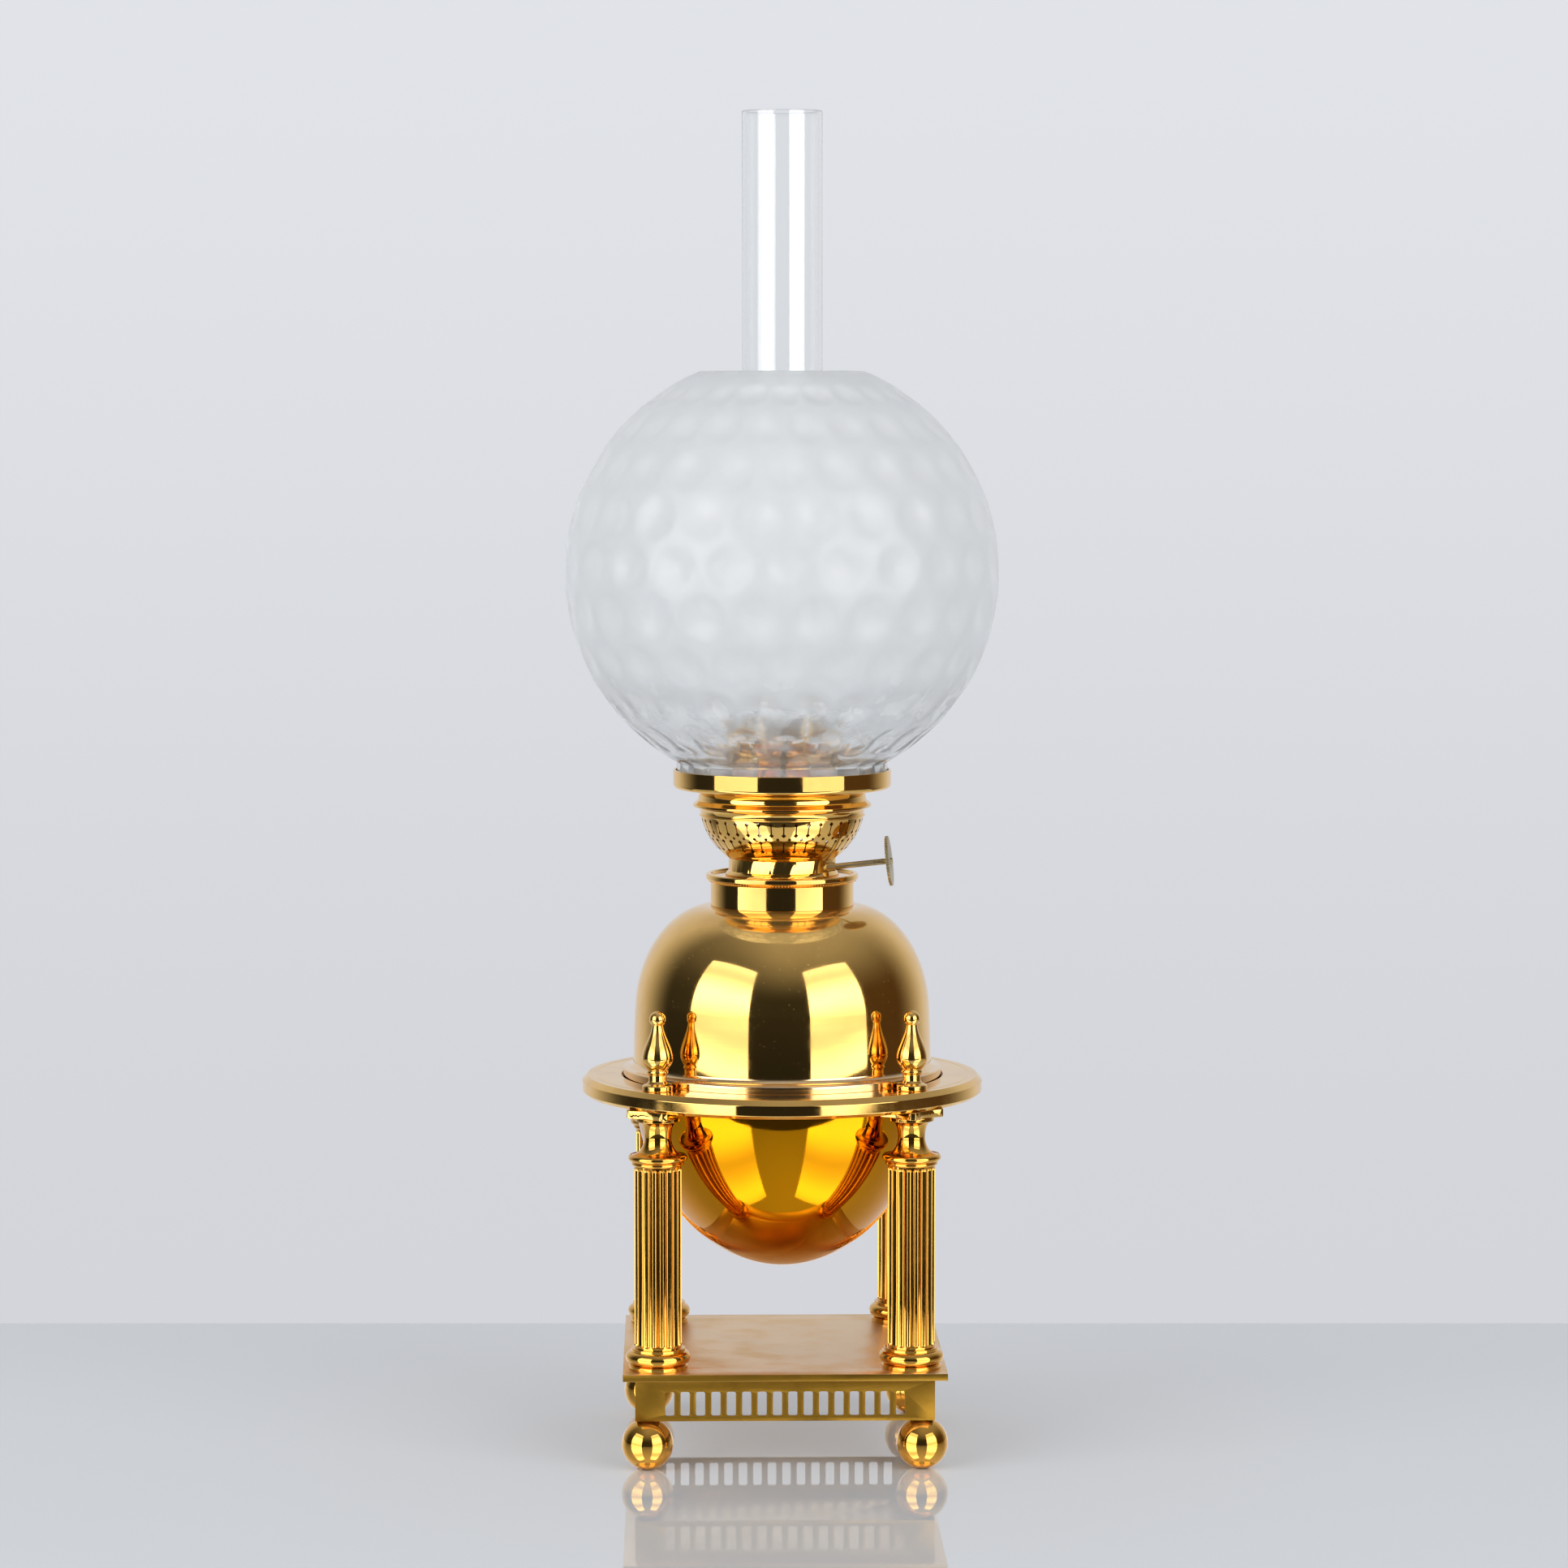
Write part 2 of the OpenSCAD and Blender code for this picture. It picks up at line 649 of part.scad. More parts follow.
// Turned finial: foot ring, neck, collar, drop and ball
module finial(p) {
  drop_z = finial_foot_h + finial_neck_h;
  drop_foot_r = finial_collar_r - 0.3;
  belly_z = drop_z + 0.27 * drop_h;
  tip_z = drop_z + drop_h;
  blind = rod_head + 0.6;
  color([0.9, 0.68, 0.28]) translate([p[0], p[1], ring_top]) rotate_extrude()
    difference() {
      union() {
        polygon([[0, 0], [finial_foot_r - 0.2, 0], [finial_foot_r, 0.3],
                 [finial_foot_r, finial_foot_h - 0.5], [finial_foot_r - 0.4, finial_foot_h],
                 [finial_neck_r + 0.8, finial_foot_h + 0.6], [finial_neck_r, finial_foot_h + 1.8],
                 [finial_neck_r, drop_z - 2.5], [finial_collar_r - 0.3, drop_z - 1.7],
                 [finial_collar_r, drop_z - 1.3], [finial_collar_r, drop_z - 0.7],
                 [drop_foot_r - 0.1, drop_z - 0.2], [drop_foot_r - 0.1, drop_z], [0, drop_z]]);
        polygon(concat(
          [[0, drop_z - 0.2], [drop_foot_r - 0.1, drop_z - 0.2]],
          [for (i = [0:10]) let (u = i / 10)
            [drop_foot_r + (drop_r - drop_foot_r) * sin(90 * u), drop_z + (belly_z - drop_z) * u]],
          [for (i = [1:14]) let (u = i / 14)
            [drop_r + (drop_tip_r - drop_r) * (0.25 * u + 0.375 - 0.375 * cos(180 * u)),
             belly_z + (tip_z - belly_z) * u]],
          [[0, tip_z]]));
        intersection() {
          translate([0, tip_z + 0.7 * tip_ball_r]) circle(r = tip_ball_r, $fn = 64);
          translate([0, tip_z - 1]) square([tip_ball_r + 1, 3 * tip_ball_r]);
        }
      }
      translate([-1, -1]) square([rod_bore_r + 1, blind + 1]);
    }
}

module finial_fl() { finial(front_left); }
module finial_fr() { finial(front_right); }
module finial_rl() { finial(rear_left); }
module finial_rr() { finial(rear_right); }

module ring_plate() {
  ledge_r = recess_r - seat_ledge;
  color([0.86, 0.68, 0.4]) difference() {
    rotate_extrude($fn = 128) polygon([
      [ledge_r, ring_z], [ring_r - under_bevel, ring_z], [ring_r, ring_z + under_bevel],
      [ring_r, ring_top - bevel_h], [ring_r - bevel_w, ring_top], [recess_r, ring_top],
      [recess_r, seat_z], [ledge_r, seat_z]]);
    at(corners, 0) bore(rod_bore_r, ring_z, ring_top);
  }
}

// Spun lower half of the font, open at the seam inside the flange
module font_bowl() {
  outer = spun(0, 0, bowl_r, bowl_h);
  inner = spun(0, 0, bowl_r - font_t, bowl_h - font_t);
  n = len(outer) - 1;
  color([0.85, 0.6, 0.1]) rotate_extrude($fn = 128) polygon(concat(
    [[font_r - fit - font_t, seam_z], [font_r - fit, seam_z], [font_r - fit, seat_z - 2]],
    [for (i = [0:n]) [outer[i][0], bowl_z - outer[i][1]]],
    [for (i = [n:-1:0]) [inner[i][0], bowl_z - inner[i][1]]],
    [[font_r - fit - font_t, seat_z - 2]]));
}

// Spun upper half of the font, from the seam over the shoulder to the collar
module font_dome() {
  half = shoulder_r - shoulder_flat_r;
  outer = spun(shoulder_flat_r, shoulder_z, half, shoulder_h);
  inner = spun(shoulder_flat_r, shoulder_z, half - font_t, shoulder_h - font_t);
  n = len(outer) - 1;
  color([0.84, 0.64, 0.3]) rotate_extrude($fn = 128) polygon(concat(
    [[font_r - fit - font_t, seam_z], [font_r - fit, seam_z], [font_r - fit, cove_top]],
    outer,
    [[collar_bore_r, collar_z], [collar_bore_r, collar_z - font_t]],
    [for (i = [n:-1:0]) inner[i]],
    [[font_r - fit - font_t, cove_top]]));
}

// Moulded ring round the font's seam, which rests on the ring plate's ledge
module font_flange() {
  color([0.85, 0.66, 0.36]) rotate_extrude($fn = 128) polygon(concat(
    [[font_r, seat_z], [flange_r, seat_z], [flange_r, lip_top - 0.5], [flange_r - 0.4, lip_top]],
    hollow(flange_r - 0.7, lip_top + 0.1, font_r, cove_top, 8)));
}

module font_collar() {
  color([0.9, 0.68, 0.24]) ring(collar_bore_r, collar_r, collar_z, adapter_z);
}

// Milled adapter that screws into the collar and carries the burner
module burner_adapter() {
  skirt_r = collar_bore_r - fit;
  color([0.88, 0.66, 0.26]) rotate_extrude() polygon([
    [burner_r + fit, adapter_z - adapter_skirt], [skirt_r, adapter_z - adapter_skirt],
    [skirt_r, adapter_z], [adapter_r - 1.8, adapter_z],
    [adapter_r - 1.4, adapter_z + 0.12 * adapter_h], [adapter_r - 0.9, adapter_z + 0.25 * adapter_h],
    [adapter_r, adapter_z + 0.4 * adapter_h],
    [adapter_r, adapter_top - 0.6], [adapter_r - 0.5, adapter_top],
    [adapter_r - adapter_rim, adapter_top], [adapter_r - adapter_rim - 0.3, bead_z],
    [burner_r + fit, bead_z]]);
}

// Frame of the wick raiser: +X runs out along the spindle, from the burner's middle
module spindle_frame() {
  rotate([0, 0, burner_turn]) translate([0, -spindle_offset, spindle_z])
    rotate([0, -spindle_tilt, 0]) children();
}

// Round bar along the spindle's axis
module along_spindle(r, x0, x1, fn = 48) {
  spindle_frame() translate([x0, 0, 0]) rotate([0, 90, 0]) cylinder(r = r, h = x1 - x0, $fn = fn);
}

// Lower cylinder of the burner with its seating bead and its floor
module burner_cup() {
  bead_h_low = 0.4 * bead_h;
  color([0.86, 0.66, 0.26]) difference() {
    rotate_extrude() polygon([
      [wick_tube_r + tube_t + fit, cup_z], [burner_r, cup_z], [burner_r, bead_z],
      [bead_r, bead_z], [bead_r, bead_z + bead_h_low], [burner_r + 0.3, bead_z + bead_h],
      [burner_r, bead_z + bead_h + 0.3], [burner_r, basket_z],
      [burner_r - burner_t, basket_z], [burner_r - burner_t, cup_z + burner_t],
      [wick_tube_r + tube_t + fit, cup_z + burner_t]]);
    along_spindle(gland_d / 2 + fit, gland_x - 4, gland_x + 3);
  }
}

// One pierced slot: two diamonds and the link between them
module pierced_slot(length) {
  reach = (length - diamond_w) / 2;
  for (s = [-1, 1]) translate([s * reach, 0]) rotate(45)
    square(diamond_w / sqrt(2), center = true);
  square([2 * reach, link_w], center = true);
}

// Places a child on the basket's curve, at an angle down from its centre, facing outwards
module on_basket(turn, down) {
  rotate([0, 0, turn]) translate([basket_arc_x, 0, arc_z]) rotate([0, down, 0])
    translate([basket_arc_r - 2, 0, 0]) rotate([0, 90, 0]) children();
}

// Pierced basket that lets the air in
module basket() {
  step = 360 / pierce_n;
  color([0.86, 0.66, 0.14]) difference() {
    rotate_extrude() intersection() {
      translate([basket_arc_x, arc_z]) difference() {
        circle(r = basket_arc_r, $fn = 180);
        circle(r = basket_arc_r - basket_t, $fn = 180);
      }
      translate([burner_r - burner_t, basket_z]) square([basket_arc_r, basket_h]);
    }
    for (i = [0:pierce_n - 1]) {
      on_basket(i * step, pierce_upper_a) linear_extrude(4) pierced_slot(pierce_upper_l);
      on_basket(i * step, pierce_lower_a) linear_extrude(4) pierced_slot(pierce_lower_l);
      on_basket((i + 0.5) * step, pierce_hole_a) cylinder(d = hole_d, h = 4, $fn = 16);
    }
  }
}

// Spun cover over the basket: bead, flared band, lip, dome and the flat for the shade ring
module basket_cover() {
  t = basket_t;
  dome_r = lip_r - 2.6;
  band_r = basket_top_r + 0.1;
  band_z = basket_top + 1.1;
  inner = flare(band_r - t, band_z, lip_r - 1, lip_z + 0.5);
  n = len(inner) - 1;
  color([0.9, 0.7, 0.24]) rotate_extrude() polygon(concat(
    [[basket_top_r - 1.2, basket_top], [basket_top_r + 0.5, basket_top],
     [basket_top_r + 0.7, basket_top + 0.4], [basket_top_r + 0.5, basket_top + 0.8]],
    flare(band_r, band_z, lip_r, lip_z),
    [[lip_r, lip_z + lip_h], [lip_r - 1.2, lip_z + lip_h + 0.8], [dome_r + 0.4, lip_z + lip_h + 2],
     [dome_r - 0.6, holder_z - 2.4], [dome_r - 1.6, holder_z - 1], [dome_flat_r, holder_z],
     [chimney_foot_r - 3, holder_z], [chimney_foot_r - 3, holder_z - t],
     [dome_flat_r - 0.4, holder_z - t], [dome_r - 2.4, holder_z - 1.5],
     [dome_r - 1.4, holder_z - 2.6], [dome_r - 0.5, lip_z + lip_h + 1.6],
     [lip_r - 1.8, lip_z + lip_h], [lip_r - 1, lip_z + lip_h - 0.4]],
    [for (i = [n:-1:0]) inner[i]]));
}

// Fitter ring that the ball shade stands in
module shade_ring() {
  round_r = holder_round;
  inner_r = gallery_r + prong_t + 0.6;
  color([0.9, 0.7, 0.16]) rotate_extrude() difference() {
    union() {
      translate([inner_r, holder_z]) square([holder_r - round_r - inner_r, holder_t]);
      translate([holder_r - holder_t, holder_z + round_r]) square([holder_t, holder_h - round_r]);
      intersection() {
        translate([holder_r - round_r, holder_z + round_r]) circle(r = round_r, $fn = 48);
        translate([holder_r - round_r, holder_z]) square([round_r, round_r]);
      }
    }
    intersection() {
      translate([holder_r - round_r, holder_z + round_r]) circle(r = round_r - holder_t, $fn = 48);
      translate([0, holder_z]) square([holder_r, round_r + 1]);
    }
  }
}

// Spring gallery: a floor with a ring of prongs that grips the chimney's foot
module chimney_gallery() {
  floor_r = wick_tube_r + tube_t + 6;
  flare_z = holder_z + prong_h;
  color([0.85, 0.65, 0.25]) difference() {
    rotate_extrude() polygon([
      [floor_r, holder_z], [gallery_r + prong_t, holder_z],
      [gallery_r + prong_t, flare_z - 2], [gallery_r + prong_t + 1.2, flare_z],
      [gallery_r + 1.2, flare_z], [gallery_r, flare_z - 2],
      [gallery_r, gallery_floor], [floor_r, gallery_floor]]);
    for (i = [0:prong_n - 1]) rotate([0, 0, i * 360 / prong_n])
      translate([gallery_r - 1, -prong_slit / 2, gallery_floor + 3])
        cube([prong_t + 4, prong_slit, prong_h]);
  }
}

// Outer wick tube with a window for the wick wheels and an ear for the spindle's end
module outer_wick_tube() {
  window = wheel_x + wheel_t + 0.8;
  outer_r = wick_tube_r + tube_t;
  ear_t = 1.8;
  ear_r = 2.6;
  ear_x = -spindle_in + 1.2;
  color([0.8, 0.62, 0.28]) difference() {
    union() {
      ring(wick_tube_r, outer_r, cup_z, tube_top_z);
      intersection() {
        spindle_frame() translate([ear_x - ear_t / 2, -ear_r, -ear_r])
          cube([ear_t, ear_r + spindle_offset - 2, 2 * ear_r]);
        difference() {
          translate([0, 0, cup_z]) cylinder(r = burner_r - 2, h = 20);
          translate([0, 0, cup_z - 1]) cylinder(r = wick_tube_r + 0.3, h = 22);
        }
      }
    }
    along_spindle(spindle_r + fit, -spindle_in - 2, 0);
    rotate([0, 0, burner_turn]) translate([-window, -outer_r - 1, spindle_z - wheel_r - 1])
      cube([2 * window, outer_r - wick_tube_r + 3, 2 * wheel_r + 2]);
  }
}

// Draught tube inside the wick, held by a fin that passes the wick's seam
module inner_draught_tube() {
  fin_t = wick_seam - 1.8;
  fin_y = draught_r - tube_t / 2;
  fin_h = 24;
  color([0.78, 0.6, 0.28]) {
    ring(draught_r - tube_t, draught_r, cup_z, tube_top_z);
    rotate([0, 0, burner_turn]) translate([-fin_t / 2, fin_y, cup_z + tube_t])
      cube([fin_t, wick_tube_r - fit - fin_y, fin_h]);
  }
}

module spindle_gland() {
  color([0.35, 0.28, 0.15]) difference() {
    along_spindle(gland_d / 2, gland_x - 3, gland_x + gland_l);
    along_spindle(spindle_r + fit, gland_x - 4, gland_x + gland_l + 1);
  }
}

module spindle() {
  color([0.6, 0.48, 0.24]) along_spindle(spindle_r, -spindle_in, knob_reach + knob_t + 1);
}

// Thin knob with a milled edge
module knob() {
  color([0.55, 0.44, 0.24]) difference() {
    along_spindle(knob_d / 2, knob_reach, knob_reach + knob_t, 96);
    along_spindle(spindle_r + 0.02, knob_reach - 1, knob_reach + knob_t + 1);
    for (i = [0:knob_n - 1]) spindle_frame() rotate([i * 360 / knob_n, 0, 0])
      translate([knob_reach - 1, 0, knob_d / 2 + 0.15]) rotate([0, 90, 0])
        cylinder(d = PI * knob_d / knob_n * 0.55, h = knob_t + 2, $fn = 16);
  }
}

// Two toothed wheels on the spindle that bite the wick
module wick_wheels() {
  color([0.5, 0.4, 0.22]) difference() {
    for (x = [-wheel_x, wheel_x]) difference() {
      along_spindle(wheel_r, x - wheel_t / 2, x + wheel_t / 2);
      for (i = [0:wheel_teeth - 1]) spindle_frame() rotate([i * 360 / wheel_teeth, 0, 0])
        translate([x - wheel_t, 0, wheel_r]) rotate([45, 0, 0])
          translate([0, -0.4, -0.4]) cube([2 * wheel_t, 0.8, 0.8]);
    }
    along_spindle(spindle_r + 0.02, -wheel_x - wheel_t, wheel_x + wheel_t);
  }
}

// Round wick, open along the seam at its back
module wick() {
  top = tube_top_z + wick_show;
  color([0.9, 0.88, 0.8]) difference() {
    ring(wick_r - wick_t, wick_r, top - wick_l, top);
    rotate([0, 0, burner_turn]) translate([-wick_seam / 2, 0, top - wick_l - 1])
      cube([wick_seam, wick_r + 1, wick_l + 2]);
  }
}

// Glass chimney: wide foot, waist over the flame and a long straight tube
module chimney() {
  t = chimney_t;
  foot_top = gallery_floor + chimney_foot_h;
  waist_z = foot_top + waist_drop_h;
  tube_z = waist_z + waist_rise_h;
  top = gallery_floor + chimney_h;
  steps = 12;
  drop = chimney_foot_r - waist_r;
  rise = chimney_r - waist_r;
  curve = concat(
    [for (i = [0:steps]) let (a = 180 * i / steps)
      [waist_r + drop * (1 + cos(a)) / 2, foot_top + waist_drop_h * i / steps]],
    [for (i = [1:steps]) let (a = 180 * i / steps)
      [waist_r + rise * (1 - cos(a)) / 2, waist_z + waist_rise_h * i / steps]]);
  n = len(curve) - 1;
  color([0.85, 0.9, 0.92, 0.35]) rotate_extrude() polygon(concat(
    [[chimney_foot_r - t, gallery_floor], [chimney_foot_r, gallery_floor]],
    curve,
    [[chimney_r, top], [chimney_r - t, top], [chimney_r - t, tube_z]],
    [for (i = [n - 1:-1:1]) [curve[i][0] - t, curve[i][1]]],
    [[chimney_foot_r - t, foot_top]]));
}

// Ball shade with staggered rows of dimples and a short neck
module shade() {
  inner_r = shade_r - shade_t;
  color([0.93, 0.95, 0.95, 0.6]) difference() {
    rotate_extrude($fn = 128) union() {
      intersection() {
        translate([0, shade_ball_z]) difference() {
          circle(r = shade_r, $fn = 180);
          circle(r = inner_r, $fn = 180);
        }
        translate([shade_neck_r - shade_t, shade_z + shade_neck_h - 2])
          square([shade_r, shade_r]);
      }
      intersection() {
        translate([0, shade_ball_z]) difference() {
          circle(r = shade_r, $fn = 180);
          circle(r = inner_r, $fn = 180);
        }
        translate([shade_top_r - shade_t, shade_ball_z]) square([shade_r, shade_top_z - shade_ball_z]);
      }
      translate([shade_neck_r - shade_t, shade_z]) square([shade_t - neck_round, shade_neck_h]);
      translate([shade_neck_r - shade_t, shade_z + neck_round])
        square([shade_t, shade_neck_h - neck_round]);
      translate([shade_neck_r - neck_round, shade_z + neck_round]) circle(r = neck_round, $fn = 32);
    }
    for (k = [0:dimple_rows - 1]) {
      row = k - (dimple_rows - 1) / 2;
      up = dimple_start + dimple_step * row;
      size = dimple_r * (0.35 + 0.65 * cos(up));
      for (i = [0:dimple_n - 1])
        translate([0, 0, shade_ball_z]) rotate([0, -up, (i + (k % 2) / 2) * 360 / dimple_n])
          translate([shade_r + size - dimple_depth, 0, 0]) sphere(r = size, $fn = 48);
    }
  }
}

base_plate();
apron_front();
apron_back();
apron_left();
apron_right();
corner_blocks();
foot_front_left();
foot_front_right();
foot_rear_left();
foot_rear_right();
foot_nuts();
column_base_fl();
column_base_fr();
column_base_rl();
column_base_rr();
column_shaft_fl();
column_shaft_fr();
column_shaft_rl();
column_shaft_rr();
capital_fl();
capital_fr();
capital_rl();
capital_rr();
abacus_fl();
abacus_fr();
abacus_rl();
abacus_rr();
tie_rod_fl();
tie_rod_fr();
tie_rod_rl();
tie_rod_rr();
rod_nuts();
finial_fl();
finial_fr();
finial_rl();
finial_rr();
ring_plate();
font_bowl();
font_dome();
font_flange();
font_collar();
burner_adapter();
burner_cup();
basket();
basket_cover();
shade_ring();
chimney_gallery();
outer_wick_tube();
inner_draught_tube();
spindle_gland();
spindle();
knob();
wick_wheels();
wick();
chimney();
shade();
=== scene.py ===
"""Table kerosene lamp: its finishes, its turned, spun and blown pieces, and the table it stands on.

All lengths are metres, +Z is up, the front is -Y and the wick knob is towards +X.
"""
import math

import bmesh
import bpy
from bpy.props import FloatProperty, FloatVectorProperty, IntProperty, PointerProperty
from mathutils import Matrix, Vector


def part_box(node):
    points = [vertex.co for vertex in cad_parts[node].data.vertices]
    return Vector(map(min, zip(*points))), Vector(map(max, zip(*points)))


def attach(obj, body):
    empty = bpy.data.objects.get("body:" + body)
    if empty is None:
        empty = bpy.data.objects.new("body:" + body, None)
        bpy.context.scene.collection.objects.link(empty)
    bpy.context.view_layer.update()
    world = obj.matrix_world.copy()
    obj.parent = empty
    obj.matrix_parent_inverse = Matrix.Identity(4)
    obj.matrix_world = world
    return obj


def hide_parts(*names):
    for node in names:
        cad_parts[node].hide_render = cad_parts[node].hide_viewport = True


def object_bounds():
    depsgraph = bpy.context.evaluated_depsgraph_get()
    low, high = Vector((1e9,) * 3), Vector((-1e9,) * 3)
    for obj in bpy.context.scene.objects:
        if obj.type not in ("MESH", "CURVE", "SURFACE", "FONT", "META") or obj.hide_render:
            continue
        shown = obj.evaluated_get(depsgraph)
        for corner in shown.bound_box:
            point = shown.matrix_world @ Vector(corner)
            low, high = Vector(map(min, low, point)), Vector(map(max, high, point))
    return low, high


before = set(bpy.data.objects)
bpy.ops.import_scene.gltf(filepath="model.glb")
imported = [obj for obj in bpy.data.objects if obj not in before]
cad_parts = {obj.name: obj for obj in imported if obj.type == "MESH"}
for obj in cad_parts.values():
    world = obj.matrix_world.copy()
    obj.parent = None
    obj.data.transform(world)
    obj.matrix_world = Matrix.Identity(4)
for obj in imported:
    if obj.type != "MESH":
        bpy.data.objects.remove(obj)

bl_info = {
    "name": "Table kerosene lamp",
    "version": (1, 0, 0),
    "blender": (4, 5, 0),
    "location": "3D View > Sidebar > Lamp",
    "description": "Dresses a table kerosene lamp in brass, plate, cotton and glass",
    "category": "Add Mesh",
}

CAD_BOX = [list(corner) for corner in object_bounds()]
MM = 0.001
CORNERS = ("fl", "fr", "rl", "rr")


def top(node):
    """Height of a node's highest point."""
    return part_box(node)[1].z


def bottom(node):
    """Height of a node's lowest point."""
    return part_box(node)[0].z


def reach(node):
    """Outer radius of a node that is turned about the lamp's axis."""
    low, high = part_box(node)
    return (high.x - low.x) / 2


def middle(node):
    """Where a node's own upright axis stands."""
    low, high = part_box(node)
    return ((low.x + high.x) / 2, (low.y + high.y) / 2)


def length(default_mm, name, description, low=0.0, high=1000.0):
    """A size in metres with a default in millimetres."""
    return FloatProperty(name=name, description=description, default=default_mm * MM,
                         min=low * MM, max=high * MM, subtype="DISTANCE", unit="LENGTH", precision=5)


def colour(default, name, description):
    """A linear colour."""
    return FloatVectorProperty(name=name, description=description, default=default,
                               size=3, min=0.0, max=1.0, subtype="COLOR")


def share(default, name, description, high=1.0):
    """A plain factor."""
    return FloatProperty(name=name, description=description, default=default, min=0.0, max=high, precision=3)


class LampStandSizes(bpy.types.PropertyGroup):
    """Sizes of the stand that the CAD model fixes less finely than the eye sees."""
    edge: length(0.25, "Broken edge", "Width of the broken edge on turned brass")
    plate_edge: length(0.35, "Plate edge", "Width of the broken edge round the base plate")
    sheet_edge: length(0.12, "Sheet edge", "Width of the broken edge on pierced sheet")
    flutes: IntProperty(name="Flutes", description="Flutes round each column", default=20, min=8, max=24)
    flute_r: length(1.4, "Flute radius", "Radius of the cutter that makes a flute")
    flute_margin: length(0.7, "Flute margin", "Plain metal above and below the flutes")
    scribed_line: length(0.35, "Scribed line", "Width of the line turned into the ring plate")


class LampFontSizes(bpy.types.PropertyGroup):
    """Sizes of the spun font."""
    sheet: length(0.9, "Sheet", "Thickness of the spun sheet")
    taper: length(0.7, "Taper", "How far the wall draws in up to the shoulder")
    shoulder_flat: length(33.6, "Shoulder flat", "Radius where the shoulder meets the collar")
    shoulder_rise: length(46.3, "Shoulder rise", "Height of the shoulder's curve")
    spin_power: FloatProperty(name="Spin power", description="Exponent of the spun curves, 2 for an ellipse",
                              default=1.9, min=1.5, max=2.5)


class LampBurnerSizes(bpy.types.PropertyGroup):
    """Sizes of the burner's turned trim."""
    rim: length(2.2, "Adapter rim", "Width of the adapter's raised rim")
    knurl_count: IntProperty(name="Knurls", description="Notches round the adapter's milled line",
                             default=150, min=20, max=240)
    knurl: length(0.5, "Knurl", "Width of one notch in the milled line")


class LampGlassSizes(bpy.types.PropertyGroup):
    """Sizes of the glassware."""
    shade_wall: length(2.8, "Shade wall", "Thickness of the shade")
    shade_neck: length(11.0, "Shade neck", "Length of the neck inside the fitter ring")
    shade_neck_r: length(48.7, "Shade neck radius", "Outer radius of the neck")
    shade_mouth: length(37.9, "Shade mouth", "Outer radius of the opening at the top")
    dimples: IntProperty(name="Dimples", description="Dimples in one row", default=24, min=8, max=32)
    rows: IntProperty(name="Rows", description="Rows of dimples", default=11, min=1, max=13)
    row_step: FloatProperty(name="Row step", description="Angle between rows", default=math.radians(13.0),
                            min=0.05, max=0.6, subtype="ANGLE")
    row_start: FloatProperty(name="Middle row", description="Angle of the middle row above the equator",
                             default=math.radians(3.0), min=-0.2, max=0.2, subtype="ANGLE")
    dimple_depth: length(1.7, "Dimple depth", "Depth of a dimple at the equator")
    chimney_wall: length(1.6, "Chimney wall", "Thickness of the chimney")
    chimney_foot: length(26.0, "Chimney foot", "Height of the chimney's straight foot")
    waist_r: length(15.8, "Waist", "Outer radius of the waist over the flame")
    waist_drop: length(9.0, "Waist drop", "Height from the foot up to the waist")
    waist_rise: length(12.0, "Waist rise", "Height from the waist up to the tube")
    tube_r: length(18.5, "Tube", "Outer radius of the chimney's tube")


class LampFinishes(bpy.types.PropertyGroup):
    """Colours and textures of the finishes."""
    # Deep brass is a darker copy of the polished brass: painted shade for the low columns and ball feet.
    brass: colour((0.88, 0.54, 0.15), "Polished brass", "Colour of the polished brass")
    deep: colour((0.78, 0.42, 0.075), "Deep brass", "Colour of the columns and the ball feet")
    amber: colour((0.62, 0.25, 0.003), "Amber lacquer", "Colour of the lacquered bowl")
    plate: colour((0.90, 0.64, 0.36), "Worn plate", "Colour of the worn pinkish plate")
    aged: colour((0.32, 0.175, 0.022), "Aged brass", "Colour of the dull apron")
    dark: colour((0.46, 0.38, 0.22), "Dark brass", "Colour of the patinated knob and spindle")
    dust: colour((0.56, 0.47, 0.34), "Dust", "Colour of the dust on level brass")
    cotton: colour((0.80, 0.75, 0.62), "Cotton", "Colour of the wick")
    frost: colour((0.985, 0.993, 1.0), "Frost", "Colour of the satin glass")
    glass: colour((0.985, 0.992, 0.99), "Clear glass", "Colour of the clear glass")


class LampStudio(bpy.types.PropertyGroup):
    """Sizes and levels of the table, the lights and the camera."""
    backdrop: colour((0.725, 0.735, 0.775), "Backdrop", "Colour behind the lamp")
    table: colour((0.68, 0.71, 0.725), "Table", "Colour of the glossy table")
    room: share(0.04, "Room", "Level of the dark room in front of the lamp")
    ceiling: share(0.42, "Ceiling", "Level of the ceiling in reflections")
    floor: share(0.06, "Floor", "Level of the floor in front of the table in reflections")
    softbox: share(1.3, "Softbox", "Level of the two tall softboxes", 10.0)
    hot_spot: share(1.85, "Hot spot", "How much brighter the softboxes are over their bulbs", 5.0)
    table_back: length(291.5, "Table back", "Distance from the lamp's axis to the table's far edge")
    table_front: length(400.0, "Table front", "Distance from the lamp's axis to the table's near edge")
    camera_far: length(2311.3, "Camera distance", "Level distance from the lamp's axis", 0, 5000)
    camera_up: length(491.1, "Camera height", "Height of the camera over the table")
    camera_turn: FloatProperty(name="Camera turn", description="Turn of the camera about the lamp's axis",
                               default=math.radians(-1.19), min=-3.2, max=3.2, subtype="ANGLE")
    camera_down: FloatProperty(name="Camera tilt", description="Downward tilt of the camera",
                               default=0.0793, min=0.0, max=1.0, subtype="ANGLE")
    lens: FloatProperty(name="Lens", description="Focal length in millimetres on a 36 mm frame",
                        default=115.06, min=20.0, max=300.0)
    shift: FloatProperty(name="Shift", description="Sideways shift of the frame", default=0.0012,
                         min=-0.1, max=0.1, precision=4)


